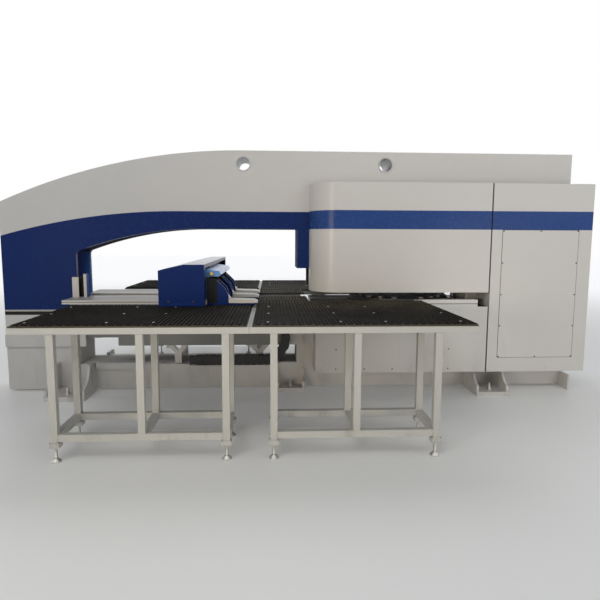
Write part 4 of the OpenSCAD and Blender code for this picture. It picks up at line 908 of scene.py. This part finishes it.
class PRESS_OT_threads(bpy.types.Operator):
    """Screw threads of the levelling feet and anchor bolts, and the ball screws' helical grooves"""
    bl_idname = "press.threads"
    bl_label = "Threads"

    def execute(self, context):
        stems = Shape()
        for side in (-1, 1):
            for x in (*LEGS_LEFT[::2], *LEGS_RIGHT[::2]):
                for y in LEG_ROWS:
                    centre = (x + TABLE_TUBE / 2, side * (y + TABLE_TUBE / 2), 0.027)
                    stems.turned(centre, (0, 0, 1), thread(0.0455, 0.0082, 0.0094, 0.0026), 14)
            for x0, x1, reach, _ in FEET:
                centre = ((x0 + x1) / 2, side * (HALF_DEPTH + reach - 0.09), 0.067)
                stems.turned(centre, (0, 0, 1), thread(0.0345, 0.0112, 0.0126, 0.003), 18)
        piece("stem_threads", stems.mesh("stem_threads"), plated("zinc_thread"))

        for name, (body, start, letter, length, (first, last), radius, journal, lead) in BALL_SCREWS.items():
            steel = turned_steel(name + "_ground", (0.52, 0.52, 0.52), start, letter, 0.2)
            shape = Shape()
            axis = Vector(AXES[letter])
            side = Vector((0, 0, 1))
            other = axis.cross(side)
            rings = []
            count = int(length / (lead / RINGS_PER_TURN))
            for k in range(count + 1):
                reach = length * k / count
                ring = []
                for i, (c, s) in enumerate(circle(GROOVE_SIDES)):
                    r = journal
                    if first < reach < last:
                        phase = (i / GROOVE_SIDES - reach / lead) % 1.0
                        r = radius - GROOVE_DEPTH * math.sqrt(max(0.0, 1.0 - abs(phase - 0.5) / GROOVE_WIDTH))
                    ring.append(Vector(start) + axis * reach + (side * c + other * s) * r)
                rings.append(ring)
            shape.rings(rings)
            made = piece(name + "_thread", shape.mesh(name + "_thread"), steel, body, smooth=True)
            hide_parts(name)
        return {"FINISHED"}


class PRESS_OT_studio(bpy.types.Operator):
    """Plain pale floor, soft light and the camera"""
    bl_idname = "press.studio"
    bl_label = "Studio"

    def execute(self, context):
        studio = settings(context)[2]
        scene = context.scene
        self.place_camera(scene, studio)
        self.lay_floor(scene, studio)
        self.light_world(scene)
        for name, at, aim, size, power, spread, colour in LAMPS:
            lamp = bpy.data.lights.new(name, "AREA")
            lamp.size = size
            lamp.energy = power
            lamp.spread = math.radians(spread)
            lamp.color = colour
            holder = bpy.data.objects.new(name, lamp)
            holder.location = at
            holder.rotation_euler = (Vector(aim) - Vector(at)).to_track_quat("-Z", "Y").to_euler()
            scene.collection.objects.link(holder)
        scene.view_settings.view_transform = "Standard"
        return {"FINISHED"}

    def place_camera(self, scene, studio):
        camera = bpy.data.objects.new("camera", bpy.data.cameras.new("camera"))
        scene.collection.objects.link(camera)
        turn = (Matrix.Rotation(-studio.yaw, 4, "Z") @ Matrix.Rotation(math.radians(90) - studio.pitch, 4, "X")
                @ Matrix.Rotation(studio.roll, 4, "Z"))
        camera.matrix_world = Matrix.Translation(studio.camera_at) @ turn
        camera.data.sensor_width = 36
        camera.data.lens = studio.lens
        camera.data.clip_end = 200
        scene.camera = camera

    def lay_floor(self, scene, studio):
        """A plain floor that brightens into the white background far from the machine."""
        finish = Finish("studio_floor", Roughness=0.5, Emission_Strength=1.0)
        far = (finish.x * finish.x + finish.y * finish.y).root().rise(2.6, 14.0)
        near_colour = finish.tint(studio.floor, finish.noise(0.8, 3.0, 0.5), 0.985, 1.015)
        finish.give(Base_Color=finish.mix(far, near_colour, (0.2, 0.2, 0.2)),
                    Emission_Color=finish.mix(far, (0.09, 0.09, 0.09), (0.7, 0.71, 0.72)))
        corners = [(x * FLOOR_REACH, y * FLOOR_REACH, 0) for x, y in ((-1, -1), (1, -1), (1, 1), (-1, 1))]
        floor = bpy.data.objects.new("studio_floor", mesh_from("studio_floor", corners, [(0, 1, 2, 3)]))
        floor.data.materials.append(finish.material)
        scene.collection.objects.link(floor)

    def light_world(self, scene):
        """White to the camera and in reflections, and a soft fill light for everything else."""
        scene.world = bpy.data.worlds.new("studio")
        scene.world.use_nodes = True
        tree = scene.world.node_tree
        tree.nodes.clear()
        path = tree.nodes.new("ShaderNodeLightPath")
        seen, lit = (tree.nodes.new("ShaderNodeBackground") for _ in range(2))
        for background, colour, strength in ((seen, (1, 1, 1, 1), 1.0), (lit, (0.93, 0.96, 1.0, 1), 0.2)):
            background.inputs[0].default_value = colour
            background.inputs[1].default_value = strength
        shown = path.outputs["Is Camera Ray"]
        for ray in ("Is Glossy Ray", "Is Transmission Ray"):
            either = tree.nodes.new("ShaderNodeMath")
            either.operation = "MAXIMUM"
            tree.links.new(shown, either.inputs[0])
            tree.links.new(path.outputs[ray], either.inputs[1])
            shown = either.outputs[0]
        mixed = tree.nodes.new("ShaderNodeMixShader")
        tree.links.new(shown, mixed.inputs[0])
        tree.links.new(lit.outputs[0], mixed.inputs[1])
        tree.links.new(seen.outputs[0], mixed.inputs[2])
        output = tree.nodes.new("ShaderNodeOutputWorld")
        tree.links.new(mixed.outputs[0], output.inputs[0])


class PRESS_PT_panel(bpy.types.Panel):
    """Sizes, colours and the pieces of the press"""
    bl_label = "Punch press"
    bl_idname = "PRESS_PT_panel"
    bl_space_type = "VIEW_3D"
    bl_region_type = "UI"
    bl_category = "Punch press"

    def draw(self, context):
        column = self.layout.column()
        for group in settings(context):
            box = column.box()
            for name in group.__annotations__:
                box.prop(group, name)
        for operator in OPERATORS:
            column.operator(operator.bl_idname)


GROUPS = {"press_paint": PressPaint, "press_brush": PressBrush, "press_studio": PressStudio}
OPERATORS = (PRESS_OT_frame_finish, PRESS_OT_cover_finish, PRESS_OT_turret_finish, PRESS_OT_table_finish,
             PRESS_OT_brush_mats, PRESS_OT_beam_finish, PRESS_OT_weld_seams, PRESS_OT_threads, PRESS_OT_studio)


def register():
    for name, group in GROUPS.items():
        bpy.utils.register_class(group)
        setattr(bpy.types.Scene, name, PointerProperty(type=group))
    for made in (*OPERATORS, PRESS_PT_panel):
        bpy.utils.register_class(made)


def unregister():
    for made in (*OPERATORS, PRESS_PT_panel):
        bpy.utils.unregister_class(made)
    for name, group in GROUPS.items():
        delattr(bpy.types.Scene, name)
        bpy.utils.unregister_class(group)


def main():
    register()
    for operator in OPERATORS:
        group, name = operator.bl_idname.split(".")
        getattr(getattr(bpy.ops, group), name)()


if __name__ == "__main__":
    main()
